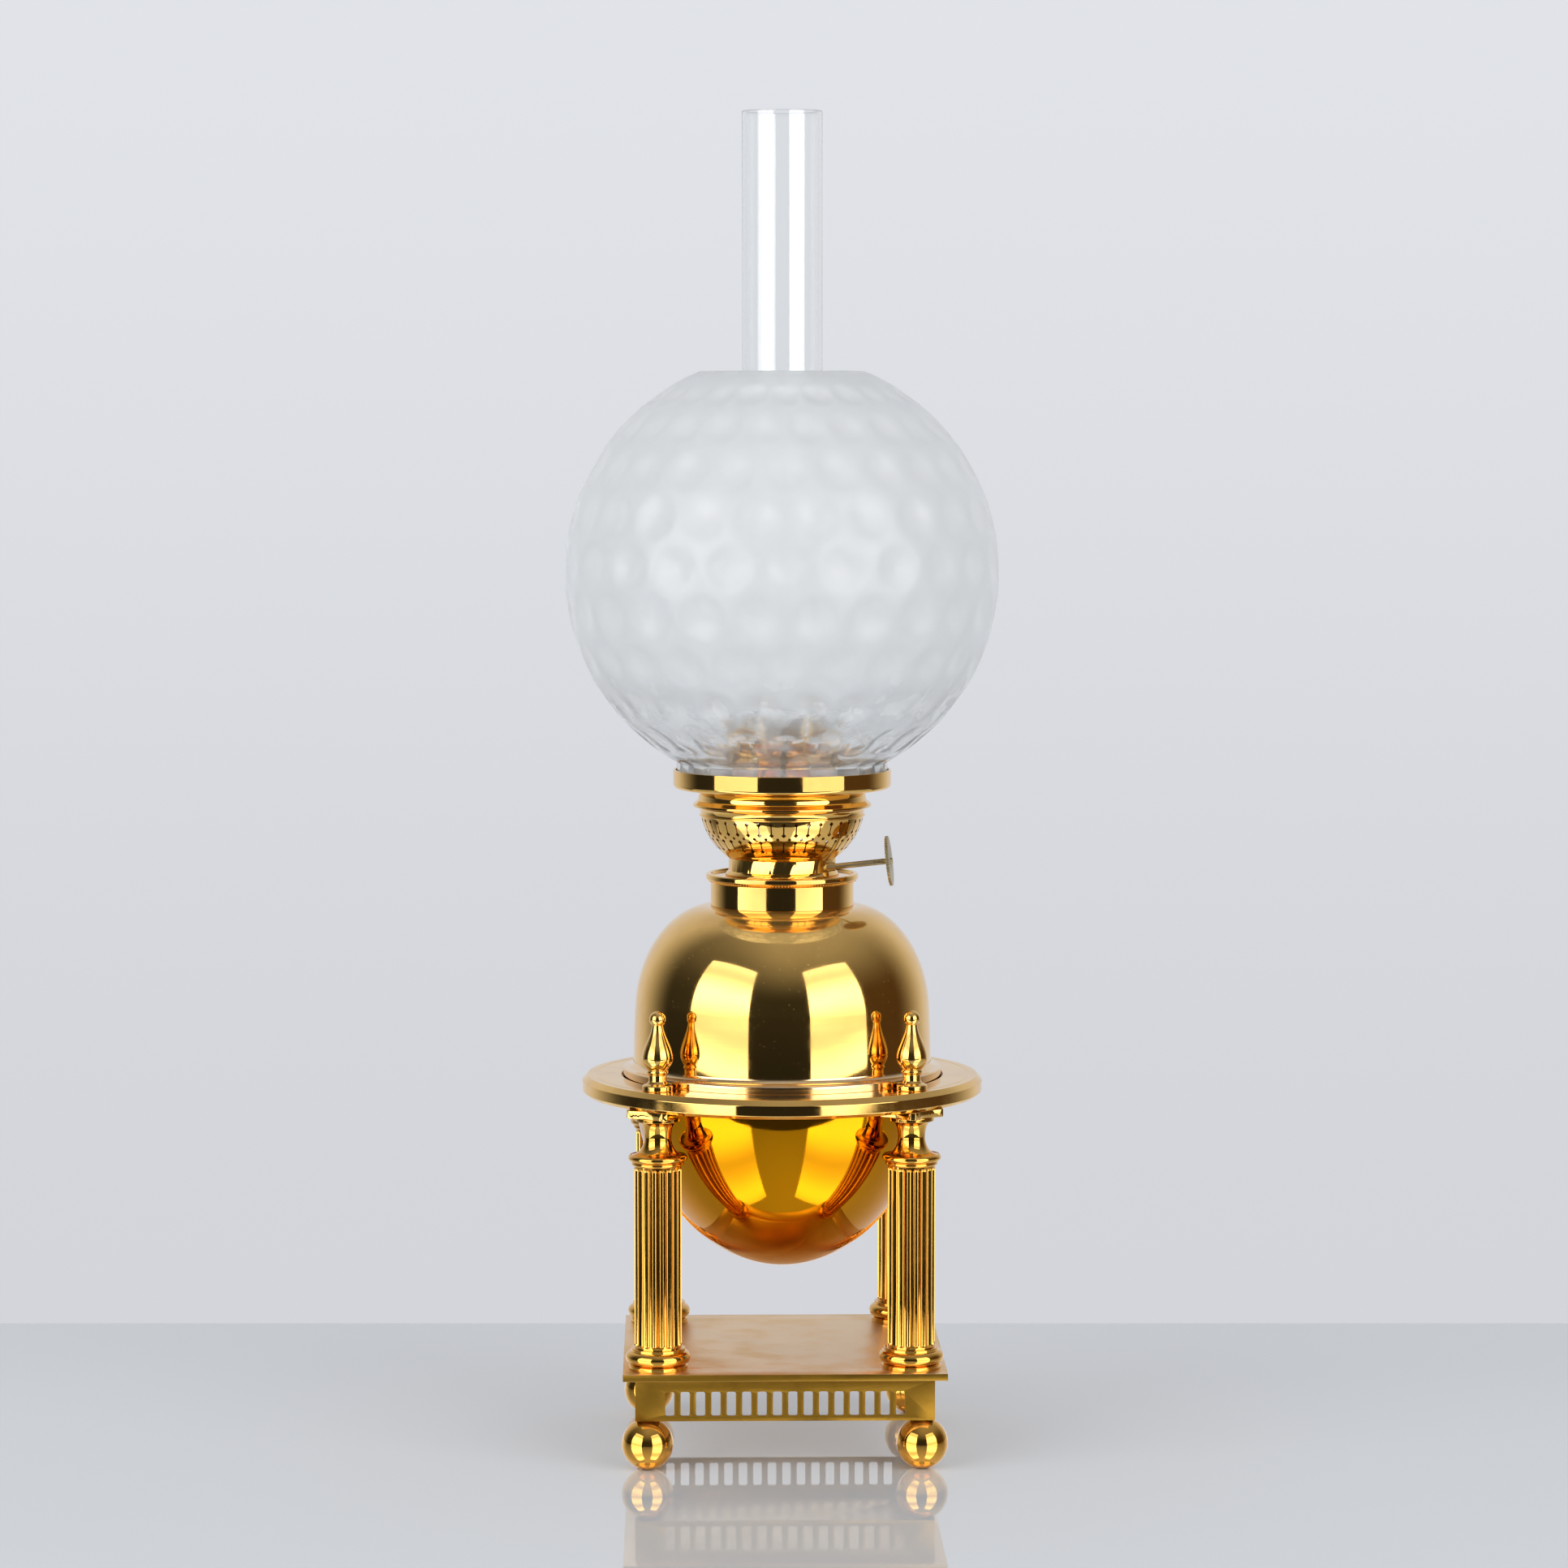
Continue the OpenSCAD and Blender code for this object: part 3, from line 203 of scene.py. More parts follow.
GROUPS = {"lamp_stand": LampStandSizes, "lamp_font": LampFontSizes, "lamp_burner": LampBurnerSizes,
          "lamp_glass": LampGlassSizes, "lamp_finish": LampFinishes, "lamp_studio": LampStudio}


class Rule:
    """Adds and links nodes in one tree, so that a rule reads as a formula."""

    def __init__(self, tree):
        self.tree = tree

    def node(self, kind, **settings):
        made = self.tree.nodes.new(kind)
        for key, value in settings.items():
            setattr(made, key, value)
        return made

    def feed(self, socket, value):
        if isinstance(value, bpy.types.NodeSocket):
            self.tree.links.new(value, socket)
        else:
            socket.default_value = value

    def math(self, operation, *values):
        made = self.node("ShaderNodeMath", operation=operation)
        for socket, value in zip(made.inputs, values):
            self.feed(socket, value)
        return made.outputs[0]

    def vector(self, operation, *values):
        made = self.node("ShaderNodeVectorMath", operation=operation)
        for socket, value in zip(made.inputs, values):
            self.feed(socket, value)
        wanted = "Value" if operation in {"LENGTH", "DOT_PRODUCT", "DISTANCE"} else "Vector"
        return made.outputs[wanted]

    def scaled(self, value, factor):
        made = self.node("ShaderNodeVectorMath", operation="SCALE")
        self.feed(made.inputs["Vector"], value)
        self.feed(made.inputs["Scale"], factor)
        return made.outputs["Vector"]

    def split(self, value):
        made = self.node("ShaderNodeSeparateXYZ")
        self.feed(made.inputs[0], value)
        return made.outputs

    def join(self, x, y, z):
        made = self.node("ShaderNodeCombineXYZ")
        for socket, value in zip(made.inputs, (x, y, z)):
            self.feed(socket, value)
        return made.outputs[0]

    def between(self, value, low, high, out_low=0.0, out_high=1.0):
        """A smooth step from one level to another."""
        made = self.node("ShaderNodeMapRange", interpolation_type="SMOOTHSTEP")
        for socket, number in zip(made.inputs, (value, low, high, out_low, out_high)):
            self.feed(socket, number)
        return made.outputs[0]

    def blend(self, factor, first, second):
        """A mix of two colours."""
        made = self.node("ShaderNodeMix", data_type="RGBA")
        self.feed(made.inputs[0], factor)
        self.feed(made.inputs[6], first)
        self.feed(made.inputs[7], second)
        return made.outputs[2]

    def noise(self, place, scale, detail=2.0, roughness=0.5):
        made = self.node("ShaderNodeTexNoise")
        self.feed(made.inputs["Vector"], place)
        made.inputs["Scale"].default_value = scale
        made.inputs["Detail"].default_value = detail
        made.inputs["Roughness"].default_value = roughness
        return made.outputs["Fac"]

    def bump(self, height, strength, distance, normal=None):
        made = self.node("ShaderNodeBump")
        made.inputs["Strength"].default_value = strength
        made.inputs["Distance"].default_value = distance
        self.feed(made.inputs["Height"], height)
        if normal is not None:
            self.feed(made.inputs["Normal"], normal)
        return made.outputs["Normal"]


def rgba(value):
    """A colour with full alpha."""
    return (value[0], value[1], value[2], 1.0)


def new_finish(name):
    """An empty material with its main shader and its Object coordinates."""
    material = bpy.data.materials.new(name)
    material.use_nodes = True
    rule = Rule(material.node_tree)
    shader = material.node_tree.nodes["Principled BSDF"]
    place = rule.node("ShaderNodeTexCoord").outputs["Object"]
    return material, rule, shader, place


def brass_finish(name, clean, tarnish, polish, tarnish_share, dust_share, dust_colour, ripple=0.0, edge=None):
    """Metal with cloudy tarnish, fine wiping scratches and dust where it faces up.

    polish is its roughness where it is clean, ripple the depth of its spinning rings, and edge
    the colour painted on its upright faces, as painted shade where they face the dark room and as duller tarnish.
    """
    material, rule, shader, place = new_finish(name)
    cloud = rule.noise(place, 42.0, 4.0, 0.6)
    smudge = rule.noise(place, 180.0, 3.0, 0.55)
    stretched = rule.vector("MULTIPLY", place, (1400.0, 1400.0, 90.0))
    scratch = rule.noise(stretched, 1.0, 2.0, 0.6)
    tarnished = rule.math("MULTIPLY", rule.between(cloud, 0.42, 0.72), tarnish_share)
    metal = rule.blend(tarnished, rgba(clean), rgba(tarnish))
    speck = rule.node("ShaderNodeTexVoronoi", feature="F1")
    speck.inputs["Scale"].default_value = 440.0
    rule.feed(speck.inputs["Vector"], place)
    grain = rule.between(speck.outputs["Distance"], 0.10, 0.24, 1.0, 0.0)
    picked = rule.math("GREATER_THAN", rule.split(speck.outputs["Color"])[0], 0.62)
    facing = rule.split(rule.node("ShaderNodeNewGeometry").outputs["Normal"])[2]
    # Painted shade: upright faces turn to the edge colour, standing in for the dark room they face, along with duller
    # tarnish.
    if edge is not None:
        upright = rule.between(rule.math("ABSOLUTE", facing), 0.2, 0.8, 1.0, 0.0)
        metal = rule.blend(upright, metal, rgba(edge))
    upward = rule.between(facing, -0.15, 0.9, 0.12, 1.0)
    patches = rule.between(cloud, 0.35, 0.65, 0.4, 1.0)
    specks = rule.math("MULTIPLY", rule.math("MULTIPLY", grain, picked), patches)
    film = rule.math("MULTIPLY", rule.between(facing, 0.15, 1.0), 0.3)
    dust = rule.math("MULTIPLY", rule.math("MAXIMUM", rule.math("MULTIPLY", specks, upward), film), dust_share)
    rule.feed(shader.inputs["Base Color"], rule.blend(dust, metal, rgba(dust_colour)))
    rule.feed(shader.inputs["Metallic"], rule.math("SUBTRACT", 1.0, dust))
    worn = rule.math("ADD", rule.math("MULTIPLY", smudge, 0.07), rule.math("MULTIPLY", tarnished, 0.16))
    dusty = rule.math("MULTIPLY", dust, 0.5)
    rough = rule.math("ADD", rule.math("ADD", worn, dusty), polish - 0.035)
    rule.feed(shader.inputs["Roughness"], rule.math("MAXIMUM", rough, 0.03))
    height = rule.math("MULTIPLY", scratch, 0.5)
    normal = rule.bump(height, 0.018, 0.00004)
    if ripple:
        rings = rule.noise(rule.vector("MULTIPLY", place, (8.0, 8.0, 260.0)), 1.0, 2.0, 0.5)
        normal = rule.bump(rings, 0.5, ripple, normal)
    rule.feed(shader.inputs["Normal"], normal)
    return material


def cotton_finish(name, clean):
    """Woven cotton, charred at nothing: the wick is new."""
    material, rule, shader, place = new_finish(name)
    x, y, z = rule.split(place)
    turn = rule.math("ARCTAN2", y, x)
    warp = rule.math("SINE", rule.math("MULTIPLY", turn, 64.0))
    weft = rule.math("SINE", rule.math("MULTIPLY", z, 5200.0))
    weave = rule.math("MULTIPLY", warp, weft)
    fibre = rule.noise(place, 2600.0, 3.0, 0.6)
    shade = rule.math("ADD", rule.math("MULTIPLY", weave, 0.16), fibre)
    dark = tuple(v * 0.72 for v in clean)
    rule.feed(shader.inputs["Base Color"], rule.blend(rule.between(shade, 0.2, 0.9), rgba(dark), rgba(clean)))
    shader.inputs["Roughness"].default_value = 0.95
    shader.inputs["Sheen Weight"].default_value = 0.3
    rule.feed(shader.inputs["Normal"], rule.bump(weave, 0.6, 0.0002))
    return material


def clear_glass_finish(name, tint):
    """Clear blown glass with faint drawn streaks and a few water marks."""
    material, rule, shader, place = new_finish(name)
    streak = rule.noise(rule.vector("MULTIPLY", place, (70.0, 70.0, 6.0)), 1.0, 2.0, 0.5)
    mark = rule.between(rule.noise(place, 55.0, 4.0, 0.7), 0.62, 0.8)
    shader.inputs["Base Color"].default_value = rgba(tint)
    shader.inputs["Transmission Weight"].default_value = 1.0
    shader.inputs["IOR"].default_value = 1.5
    rule.feed(shader.inputs["Roughness"], rule.math("MULTIPLY", mark, 0.02))
    rule.feed(shader.inputs["Normal"], rule.bump(streak, 0.08, 0.0006))
    return material


def frosted_glass_finish(name, tint, foot, equator, crown, sizes):
    """Satin glass that fades to clear towards its neck, with painted shade darkening it between its dimples, where the
    wall is also a little thicker.

    foot, equator and crown are the heights of the neck, the widest ring and the mouth.
    """
    material, rule, shader, place = new_finish(name)
    height = rule.split(place)[2]
    cloud = rule.noise(place, 26.0, 3.0, 0.5)
    wavering = rule.math("ADD", height, rule.math("MULTIPLY", cloud, 0.016))
    satin = rule.between(wavering, foot + 0.08 * (equator - foot), foot + 0.78 * (equator - foot))
    ball_r = round(CAD_BOX[1][0] / MM, 1) * MM
    centre_z = foot + sizes.shade_neck + math.sqrt(ball_r ** 2 - sizes.shade_neck_r ** 2)
    way = rule.vector("NORMALIZE", rule.vector("SUBTRACT", place, (0.0, 0.0, centre_z)))
    rows = {"Dimples": float(sizes.dimples), "Rows": float(sizes.rows), "Step": sizes.row_step,
            "Start": sizes.row_start, "Depth": 1.0}
    hollow = rule.math("ADD", *[dimple_depth_rule(rule, way, rows, offset) for offset in (0.0, 1.0)])
    # Painted shade: the tint is darker between the dimples so that their rims look darker; the wall there is also
    # thicker.
    thick = rgba([v * k for v, k in zip(tint, (0.960, 0.966, 0.967))])
    glass = rule.blend(rule.between(hollow, 0.0, 0.7), thick, rgba(tint))
    normal = rule.bump(rule.math("SUBTRACT", 1.0, hollow), 0.5, 0.0015)
    rule.feed(shader.inputs["Base Color"], glass)
    rule.feed(shader.inputs["Normal"], normal)
    shader.inputs["Transmission Weight"].default_value = 1.0
    shader.inputs["IOR"].default_value = 1.47
    rule.feed(shader.inputs["Roughness"], rule.math("ADD", rule.math("MULTIPLY", satin, 0.19), 0.03))
    veil = rule.node("ShaderNodeBsdfTranslucent")
    rule.feed(veil.inputs["Color"], glass)
    matt = rule.node("ShaderNodeBsdfDiffuse")
    rule.feed(matt.inputs["Color"], glass)
    rule.feed(matt.inputs["Normal"], normal)
    body = rule.node("ShaderNodeMixShader")
    body.inputs[0].default_value = 0.8
    rule.tree.links.new(veil.outputs[0], body.inputs[1])
    rule.tree.links.new(matt.outputs[0], body.inputs[2])
    whole = rule.node("ShaderNodeMixShader")
    crowned = rule.between(height, equator, crown, 0.42, 0.46)
    thinner = rule.between(height, foot, foot + 0.5 * (equator - foot), 0.55, 1.0)
    milk = rule.math("MULTIPLY", rule.between(rule.noise(place, 75.0, 2.0, 0.5), 0.35, 0.65, 0.10, 0.38), thinner)
    rule.feed(whole.inputs[0], rule.math("MAXIMUM", rule.math("MULTIPLY", satin, crowned), milk))
    rule.tree.links.new(shader.outputs[0], whole.inputs[1])
    rule.tree.links.new(body.outputs[0], whole.inputs[2])
    output = rule.tree.nodes["Material Output"]
    rule.tree.links.new(whole.outputs[0], output.inputs["Surface"])
    return material


def make_finishes(scene):
    """All of the lamp's materials by name."""
    c = scene.lamp_finish
    tarnish = tuple(v * k for v, k in zip(c.brass, (0.62, 0.55, 0.5)))
    dull = tuple(v * 0.6 for v in c.aged)
    foot, crown = bottom("shade"), top("shade")
    equator = crown - (crown - foot) * 0.485
    return {
        "polished": brass_finish("polished_brass", c.brass, tarnish, 0.055, 0.30, 0.14, c.dust),
        # A shaded copy of the polished brass, darker as painted shade for the columns and feet.
        "deep": brass_finish("shaded_deep_brass", c.deep, tarnish, 0.055, 0.30, 0.14, c.dust),
        "spun": brass_finish("spun_brass", c.brass, tarnish, 0.055, 0.22, 0.34, c.dust, 0.00002),
        "amber": brass_finish("amber_lacquered_brass", c.amber, dull, 0.05, 0.10, 0.03, c.dust, 0.00002),
        # The plate's upright edge is painted the aged colour: painted shade where it faces the dark room, with
        # tarnish.
        "plate": brass_finish("worn_plate", c.plate, c.brass, 0.34, 0.55, 0.20, c.dust, edge=c.aged),
        "moulded": brass_finish("worn_flange", c.plate, c.brass, 0.09, 0.55, 0.20, c.dust),
        "aged": brass_finish("aged_brass", c.aged, dull, 0.44, 0.70, 0.15, c.dust),
        "dark": brass_finish("dark_brass", c.dark, tuple(v * 0.55 for v in c.dark), 0.34, 0.80, 0.40, c.dust),
        "cotton": cotton_finish("wick_cotton", c.cotton),
        "clear": clear_glass_finish("chimney_glass", c.glass),
        "frosted": frosted_glass_finish("frosted_shade_glass", c.frost, foot, equator, crown, scene.lamp_glass),
    }


def arc(cx, cz, radius, start, end, steps):
    """Points on an arc, with its angles in degrees."""
    points = []
    for i in range(steps + 1):
        a = math.radians(start + (end - start) * i / steps)
        points.append((cx + radius * math.cos(a), cz + radius * math.sin(a)))
    return points


def spun_curve(cx, cz, half_r, half_z, power, steps=44):
    """A quarter of a superellipse, from its side to its pole."""
    points = []
    for i in range(steps + 1):
        a = math.pi / 2 * i / steps
        r = cx + half_r * max(math.cos(a), 0.0) ** (2 / power)
        points.append((r, cz + half_z * math.sin(a) ** (2 / power)))
    return points


def hollow_curve(x0, z0, x1, z1, steps=14):
    """A hollow quarter round between two corners, bulging towards the axis."""
    points = []
    for i in range(steps + 1):
        a = math.pi / 2 * i / steps
        points.append((x0 + (x1 - x0) * math.sin(a), z1 - (z1 - z0) * math.cos(a)))
    return points


def eased(points, radius, steps=3, sharpest=22.0):
    """A closed profile with its sharp corners rounded, so that they catch the light."""
    out = []
    count = len(points)
    for i, here in enumerate(points):
        before = Vector(points[i - 1]) - Vector(here)
        after = Vector(points[(i + 1) % count]) - Vector(here)
        if before.length < 1e-7 or after.length < 1e-7:
            continue
        turn = 180 - math.degrees(before.angle(after))
        if turn < sharpest or here[0] < 1e-6:
            out.append(tuple(here))
            continue
        back = min(radius, 0.42 * before.length, 0.42 * after.length)
        start = Vector(here) + before.normalized() * back
        end = Vector(here) + after.normalized() * back
        for k in range(steps + 1):
            t = k / steps
            point = start * (1 - t) ** 2 + Vector(here) * (2 * t * (1 - t)) + end * t ** 2
            out.append(tuple(point))
    return out


def profile_normals(points):
    """Outward directions at a closed profile's points, led by its longer neighbour."""
    count = len(points)
    area = sum(points[i][0] * points[(i + 1) % count][1] - points[(i + 1) % count][0] * points[i][1]
               for i in range(count))
    side = 1.0 if area > 0 else -1.0
    normals = []
    for i in range(count):
        total = Vector((0.0, 0.0))
        for a, b in ((points[i - 1], points[i]), (points[i], points[(i + 1) % count])):
            step = Vector(b) - Vector(a)
            on_axis = abs(a[0]) < 1e-7 and abs(b[0]) < 1e-7
            if step.length > 1e-9 and not on_axis:
                total += Vector((step.y, -step.x)) * side * step.length
        normals.append(total.normalized() if total.length > 0 else Vector((1.0, 0.0)))
    return normals


def finish_object(name, mesh, material, body, *nodes):
    """Gives a mesh its material, links it, and lets it ride and stand for CAD nodes."""
    mesh.materials.clear()
    mesh.materials.append(material)
    made = bpy.data.objects.new(name, mesh)
    bpy.context.scene.collection.objects.link(made)
    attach(made, body)
    if nodes:
        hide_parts(*nodes)
    return made


def turned_mesh(name, profile, centre=(0.0, 0.0), columns=96, own_normals=True):
    """A closed profile of (radius, height) points turned about an upright axis."""
    normals_2d = profile_normals(profile)
    verts, normals, rings = [], [], []
    for (r, z), n in zip(profile, normals_2d):
        if r < 1e-6:
            rings.append([len(verts)])
            verts.append((centre[0], centre[1], z))
            normals.append((0.0, 0.0, 1.0 if n.y > 0 else -1.0))
            continue
        ring = []
        for k in range(columns):
            a = 2 * math.pi * k / columns
            ring.append(len(verts))
            verts.append((centre[0] + r * math.cos(a), centre[1] + r * math.sin(a), z))
            normals.append((n.x * math.cos(a), n.x * math.sin(a), n.y))
        rings.append(ring)
    faces = []
    for i, ring in enumerate(rings):
        after = rings[(i + 1) % len(rings)]
        if len(ring) == 1 and len(after) == 1:
            continue
        for k in range(columns):
            m = (k + 1) % columns
            if len(ring) == 1:
                faces.append((ring[0], after[k], after[m]))
            elif len(after) == 1:
                faces.append((ring[k], after[0], ring[m]))
            else:
                faces.append((ring[k], after[k], after[m], ring[m]))
    mesh = bpy.data.meshes.new(name)
    mesh.from_pydata(verts, [], faces)
    shell = bmesh.new()
    shell.from_mesh(mesh)
    bmesh.ops.recalc_face_normals(shell, faces=shell.faces)
    shell.to_mesh(mesh)
    shell.free()
    mesh.shade_smooth()
    if own_normals:
        mesh.normals_split_custom_set_from_vertices(normals)
    return mesh


def from_node(node, ease, angle=30.0):
    """A merged copy of a CAD node with its edges broken by a small bevel."""
    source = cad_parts[node]
    shell = bmesh.new()
    shell.from_mesh(source.data)
    bmesh.ops.remove_doubles(shell, verts=shell.verts, dist=1e-6)
    bmesh.ops.dissolve_limit(shell, angle_limit=math.radians(0.3), verts=shell.verts, edges=shell.edges)
    mesh = bpy.data.meshes.new(node + "_broken_edges")
    shell.to_mesh(mesh)
    shell.free()
    mesh.shade_smooth()
    held = bpy.data.objects.new(node + "_work", mesh)
    bpy.context.scene.collection.objects.link(held)
    if ease:
        bevel = held.modifiers.new("broken edge", "BEVEL")
        bevel.width = ease
        bevel.segments = 2
        bevel.limit_method = "ANGLE"
        bevel.angle_limit = math.radians(angle)
        bevel.use_clamp_overlap = True
        bevel.harden_normals = True
    else:
        shell = bmesh.new()
        shell.from_mesh(mesh)
        for edge in shell.edges:
            edge.smooth = edge.calc_face_angle(0.0) < math.radians(angle)
        shell.to_mesh(mesh)
        shell.free()
    return baked(held, node + "_broken_edges")


def baked(held, name):
    """The plain mesh of a working object, which is then removed."""
    bpy.context.view_layer.update()
    seen = held.evaluated_get(bpy.context.evaluated_depsgraph_get())
    mesh = bpy.data.meshes.new_from_object(seen, preserve_all_data_layers=True,
                                           depsgraph=bpy.context.evaluated_depsgraph_get())
    mesh.name = name
    used = held.data
    bpy.data.objects.remove(held)
    bpy.data.meshes.remove(used)
    return mesh


def new_rule_tree(name, sizes):
    """An empty geometry tree with named inputs for its sizes."""
    tree = bpy.data.node_groups.new(name, "GeometryNodeTree")
    tree.interface.new_socket("Geometry", in_out="INPUT", socket_type="NodeSocketGeometry")
    for label in sizes:
        tree.interface.new_socket(label, in_out="INPUT", socket_type="NodeSocketFloat")
    tree.interface.new_socket("Finish", in_out="INPUT", socket_type="NodeSocketMaterial")
    tree.interface.new_socket("Geometry", in_out="OUTPUT", socket_type="NodeSocketGeometry")
    rule = Rule(tree)
    return tree, rule, rule.node("NodeGroupInput"), rule.node("NodeGroupOutput")


def run_rule(tree, mesh, values, material, name):
    """Runs a geometry tree on a mesh and gives back the plain mesh that it makes."""
    held = bpy.data.objects.new(name + "_work", mesh)
    bpy.context.scene.collection.objects.link(held)
    modifier = held.modifiers.new("rule", "NODES")
    modifier.node_group = tree
    for item in tree.interface.items_tree:
        if item.in_out == "INPUT" and item.name in values:
            modifier[item.identifier] = values[item.name]
        elif item.in_out == "INPUT" and item.name == "Finish":
            modifier[item.identifier] = material
    return baked(held, name)


def end_rule(rule, geometry, source, sink):
    """Realizes the result, gives it its finish and ends the tree."""
    real = rule.node("GeometryNodeRealizeInstances")
    rule.feed(real.inputs[0], geometry)
    painted = rule.node("GeometryNodeSetMaterial")
    rule.feed(painted.inputs["Geometry"], real.outputs[0])
    rule.feed(painted.inputs["Material"], source.outputs["Finish"])
    rule.feed(sink.inputs[0], painted.outputs[0])


def dimple_depth_rule(rule, way, sizes, offset):
    """How far one row of dimples draws the glass in, along a direction from the ball's centre.

    offset picks the row: 0 for the one at or under the direction, 1 for the one over it.
    """
    x, y, z = rule.split(way)
    latitude = rule.math("ARCSINE", z)
    longitude = rule.math("ARCTAN2", y, x)
    steps = rule.math("DIVIDE", rule.math("SUBTRACT", latitude, sizes["Start"]), sizes["Step"])
    row = rule.math("ADD", rule.math("FLOOR", steps), offset)
    half = rule.math("DIVIDE", rule.math("SUBTRACT", sizes["Rows"], 1.0), 2.0)
    held_row = rule.math("MINIMUM", rule.math("MAXIMUM", row, rule.math("MULTIPLY", half, -1.0)), half)
    up = rule.math("ADD", rule.math("MULTIPLY", held_row, sizes["Step"]), sizes["Start"])
    stagger = rule.math("MULTIPLY", rule.math("FLOORED_MODULO", held_row, 2.0), 0.5)
    pitch = rule.math("DIVIDE", 2 * math.pi, sizes["Dimples"])
    place = rule.math("SUBTRACT", rule.math("DIVIDE", longitude, pitch), stagger)
    nearest = rule.math("MULTIPLY", rule.math("ADD", rule.math("ROUND", place), stagger), pitch)
    level = rule.math("COSINE", up)
    aim = rule.join(rule.math("MULTIPLY", level, rule.math("COSINE", nearest)),
                    rule.math("MULTIPLY", level, rule.math("SINE", nearest)), rule.math("SINE", up))
    along = rule.vector("DOT_PRODUCT", way, aim)
    taper = rule.math("ADD", rule.math("MULTIPLY", level, 0.65), 0.35)
    half = rule.math("MULTIPLY", rule.math("MULTIPLY", sizes["Step"], 0.58), taper)
    away = rule.math("DIVIDE", rule.math("ARCCOSINE", rule.math("MINIMUM", along, 1.0)), half)
    hollow = rule.math("COSINE", rule.math("MULTIPLY", rule.math("MINIMUM", away, 1.0), math.pi))
    depth = rule.math("MULTIPLY", rule.math("MULTIPLY", sizes["Depth"], taper), 0.5)
    return rule.math("MULTIPLY", depth, rule.math("ADD", hollow, 1.0))


def dimpled_glass_tree():
    """Draws a ball's wall in where each dimple meets it, more on the outside than inside."""
    labels = ("Radius", "Centre", "Wall", "Dimples", "Rows", "Step", "Start", "Depth", "Low", "High")
    tree, rule, source, sink = new_rule_tree("dimpled glass", labels)
    sizes = {label: source.outputs[label] for label in labels}
    spot = rule.node("GeometryNodeInputPosition").outputs[0]
    arm = rule.vector("SUBTRACT", spot, rule.join(0.0, 0.0, sizes["Centre"]))
    distance = rule.vector("LENGTH", arm)
    way = rule.vector("NORMALIZE", arm)
    deep = [dimple_depth_rule(rule, way, sizes, offset) for offset in (0.0, 1.0)]
    depth = rule.math("ADD", *deep)
    outside = rule.between(distance, rule.math("SUBTRACT", sizes["Radius"], sizes["Wall"]), sizes["Radius"], 0.55, 1.0)
    height = rule.split(spot)[2]
    above = rule.between(height, sizes["Low"], rule.math("ADD", sizes["Low"], 0.006))
    below = rule.between(height, rule.math("SUBTRACT", sizes["High"], 0.004), sizes["High"], 1.0, 0.0)
    on_ball = rule.math("GREATER_THAN", distance,
                        rule.math("SUBTRACT", sizes["Radius"], rule.math("MULTIPLY", sizes["Wall"], 1.2)))
    strength = rule.math("MULTIPLY", rule.math("MULTIPLY", above, below), rule.math("MULTIPLY", outside, on_ball))
    inward = rule.scaled(way, rule.math("MULTIPLY", rule.math("MULTIPLY", depth, strength), -1.0))
    moved = rule.node("GeometryNodeSetPosition")
    rule.feed(moved.inputs["Geometry"], source.outputs["Geometry"])
    rule.feed(moved.inputs["Offset"], inward)
    end_rule(rule, moved.outputs[0], source, sink)
    return tree


def fluted_tree():
    """Draws a round shaft's wall in along each flute, with a round end to each."""
    labels = ("Radius", "Flutes", "Cutter", "Low", "High")
    tree, rule, source, sink = new_rule_tree("fluted shaft", labels)
    sizes = {label: source.outputs[label] for label in labels}
    x, y, z = rule.split(rule.node("GeometryNodeInputPosition").outputs[0])
    r = rule.math("SQRT", rule.math("ADD", rule.math("MULTIPLY", x, x), rule.math("MULTIPLY", y, y)))
    turn = rule.math("ARCTAN2", y, x)
    pitch = rule.math("DIVIDE", 2 * math.pi, sizes["Flutes"])
    place = rule.math("DIVIDE", turn, pitch)
    off = rule.math("SUBTRACT", rule.math("SUBTRACT", place, rule.math("FLOOR", place)), 0.5)
    angle = rule.math("MULTIPLY", off, pitch)
    far = rule.math("ADD", sizes["Radius"], rule.math("MULTIPLY", sizes["Cutter"], 0.22))
    past_low = rule.math("MAXIMUM", rule.math("SUBTRACT", sizes["Low"], z), 0.0)
    past_high = rule.math("MAXIMUM", rule.math("SUBTRACT", z, sizes["High"]), 0.0)
    past = rule.math("MAXIMUM", past_low, past_high)
    side = rule.math("MULTIPLY", far, rule.math("SINE", angle))
    room = rule.math("SUBTRACT", rule.math("MULTIPLY", sizes["Cutter"], sizes["Cutter"]),
                     rule.math("ADD", rule.math("MULTIPLY", side, side), rule.math("MULTIPLY", past, past)))
    hit = rule.math("SUBTRACT", rule.math("MULTIPLY", far, rule.math("COSINE", angle)),
                    rule.math("SQRT", rule.math("MAXIMUM", room, 0.0)))
    cut = rule.math("MINIMUM", rule.math("DIVIDE", hit, sizes["Radius"]), 1.0)
    inside = rule.math("MULTIPLY", rule.math("GREATER_THAN", room, 0.0),
                       rule.math("GREATER_THAN", r, rule.math("MULTIPLY", sizes["Radius"], 0.98)))
    factor = rule.math("ADD", 1.0, rule.math("MULTIPLY", inside, rule.math("SUBTRACT", cut, 1.0)))
    moved = rule.node("GeometryNodeSetPosition")
    rule.feed(moved.inputs["Geometry"], source.outputs["Geometry"])
    rule.feed(moved.inputs["Position"], rule.join(rule.math("MULTIPLY", x, factor),
                                                  rule.math("MULTIPLY", y, factor), z))
    end_rule(rule, moved.outputs[0], source, sink)
    return tree


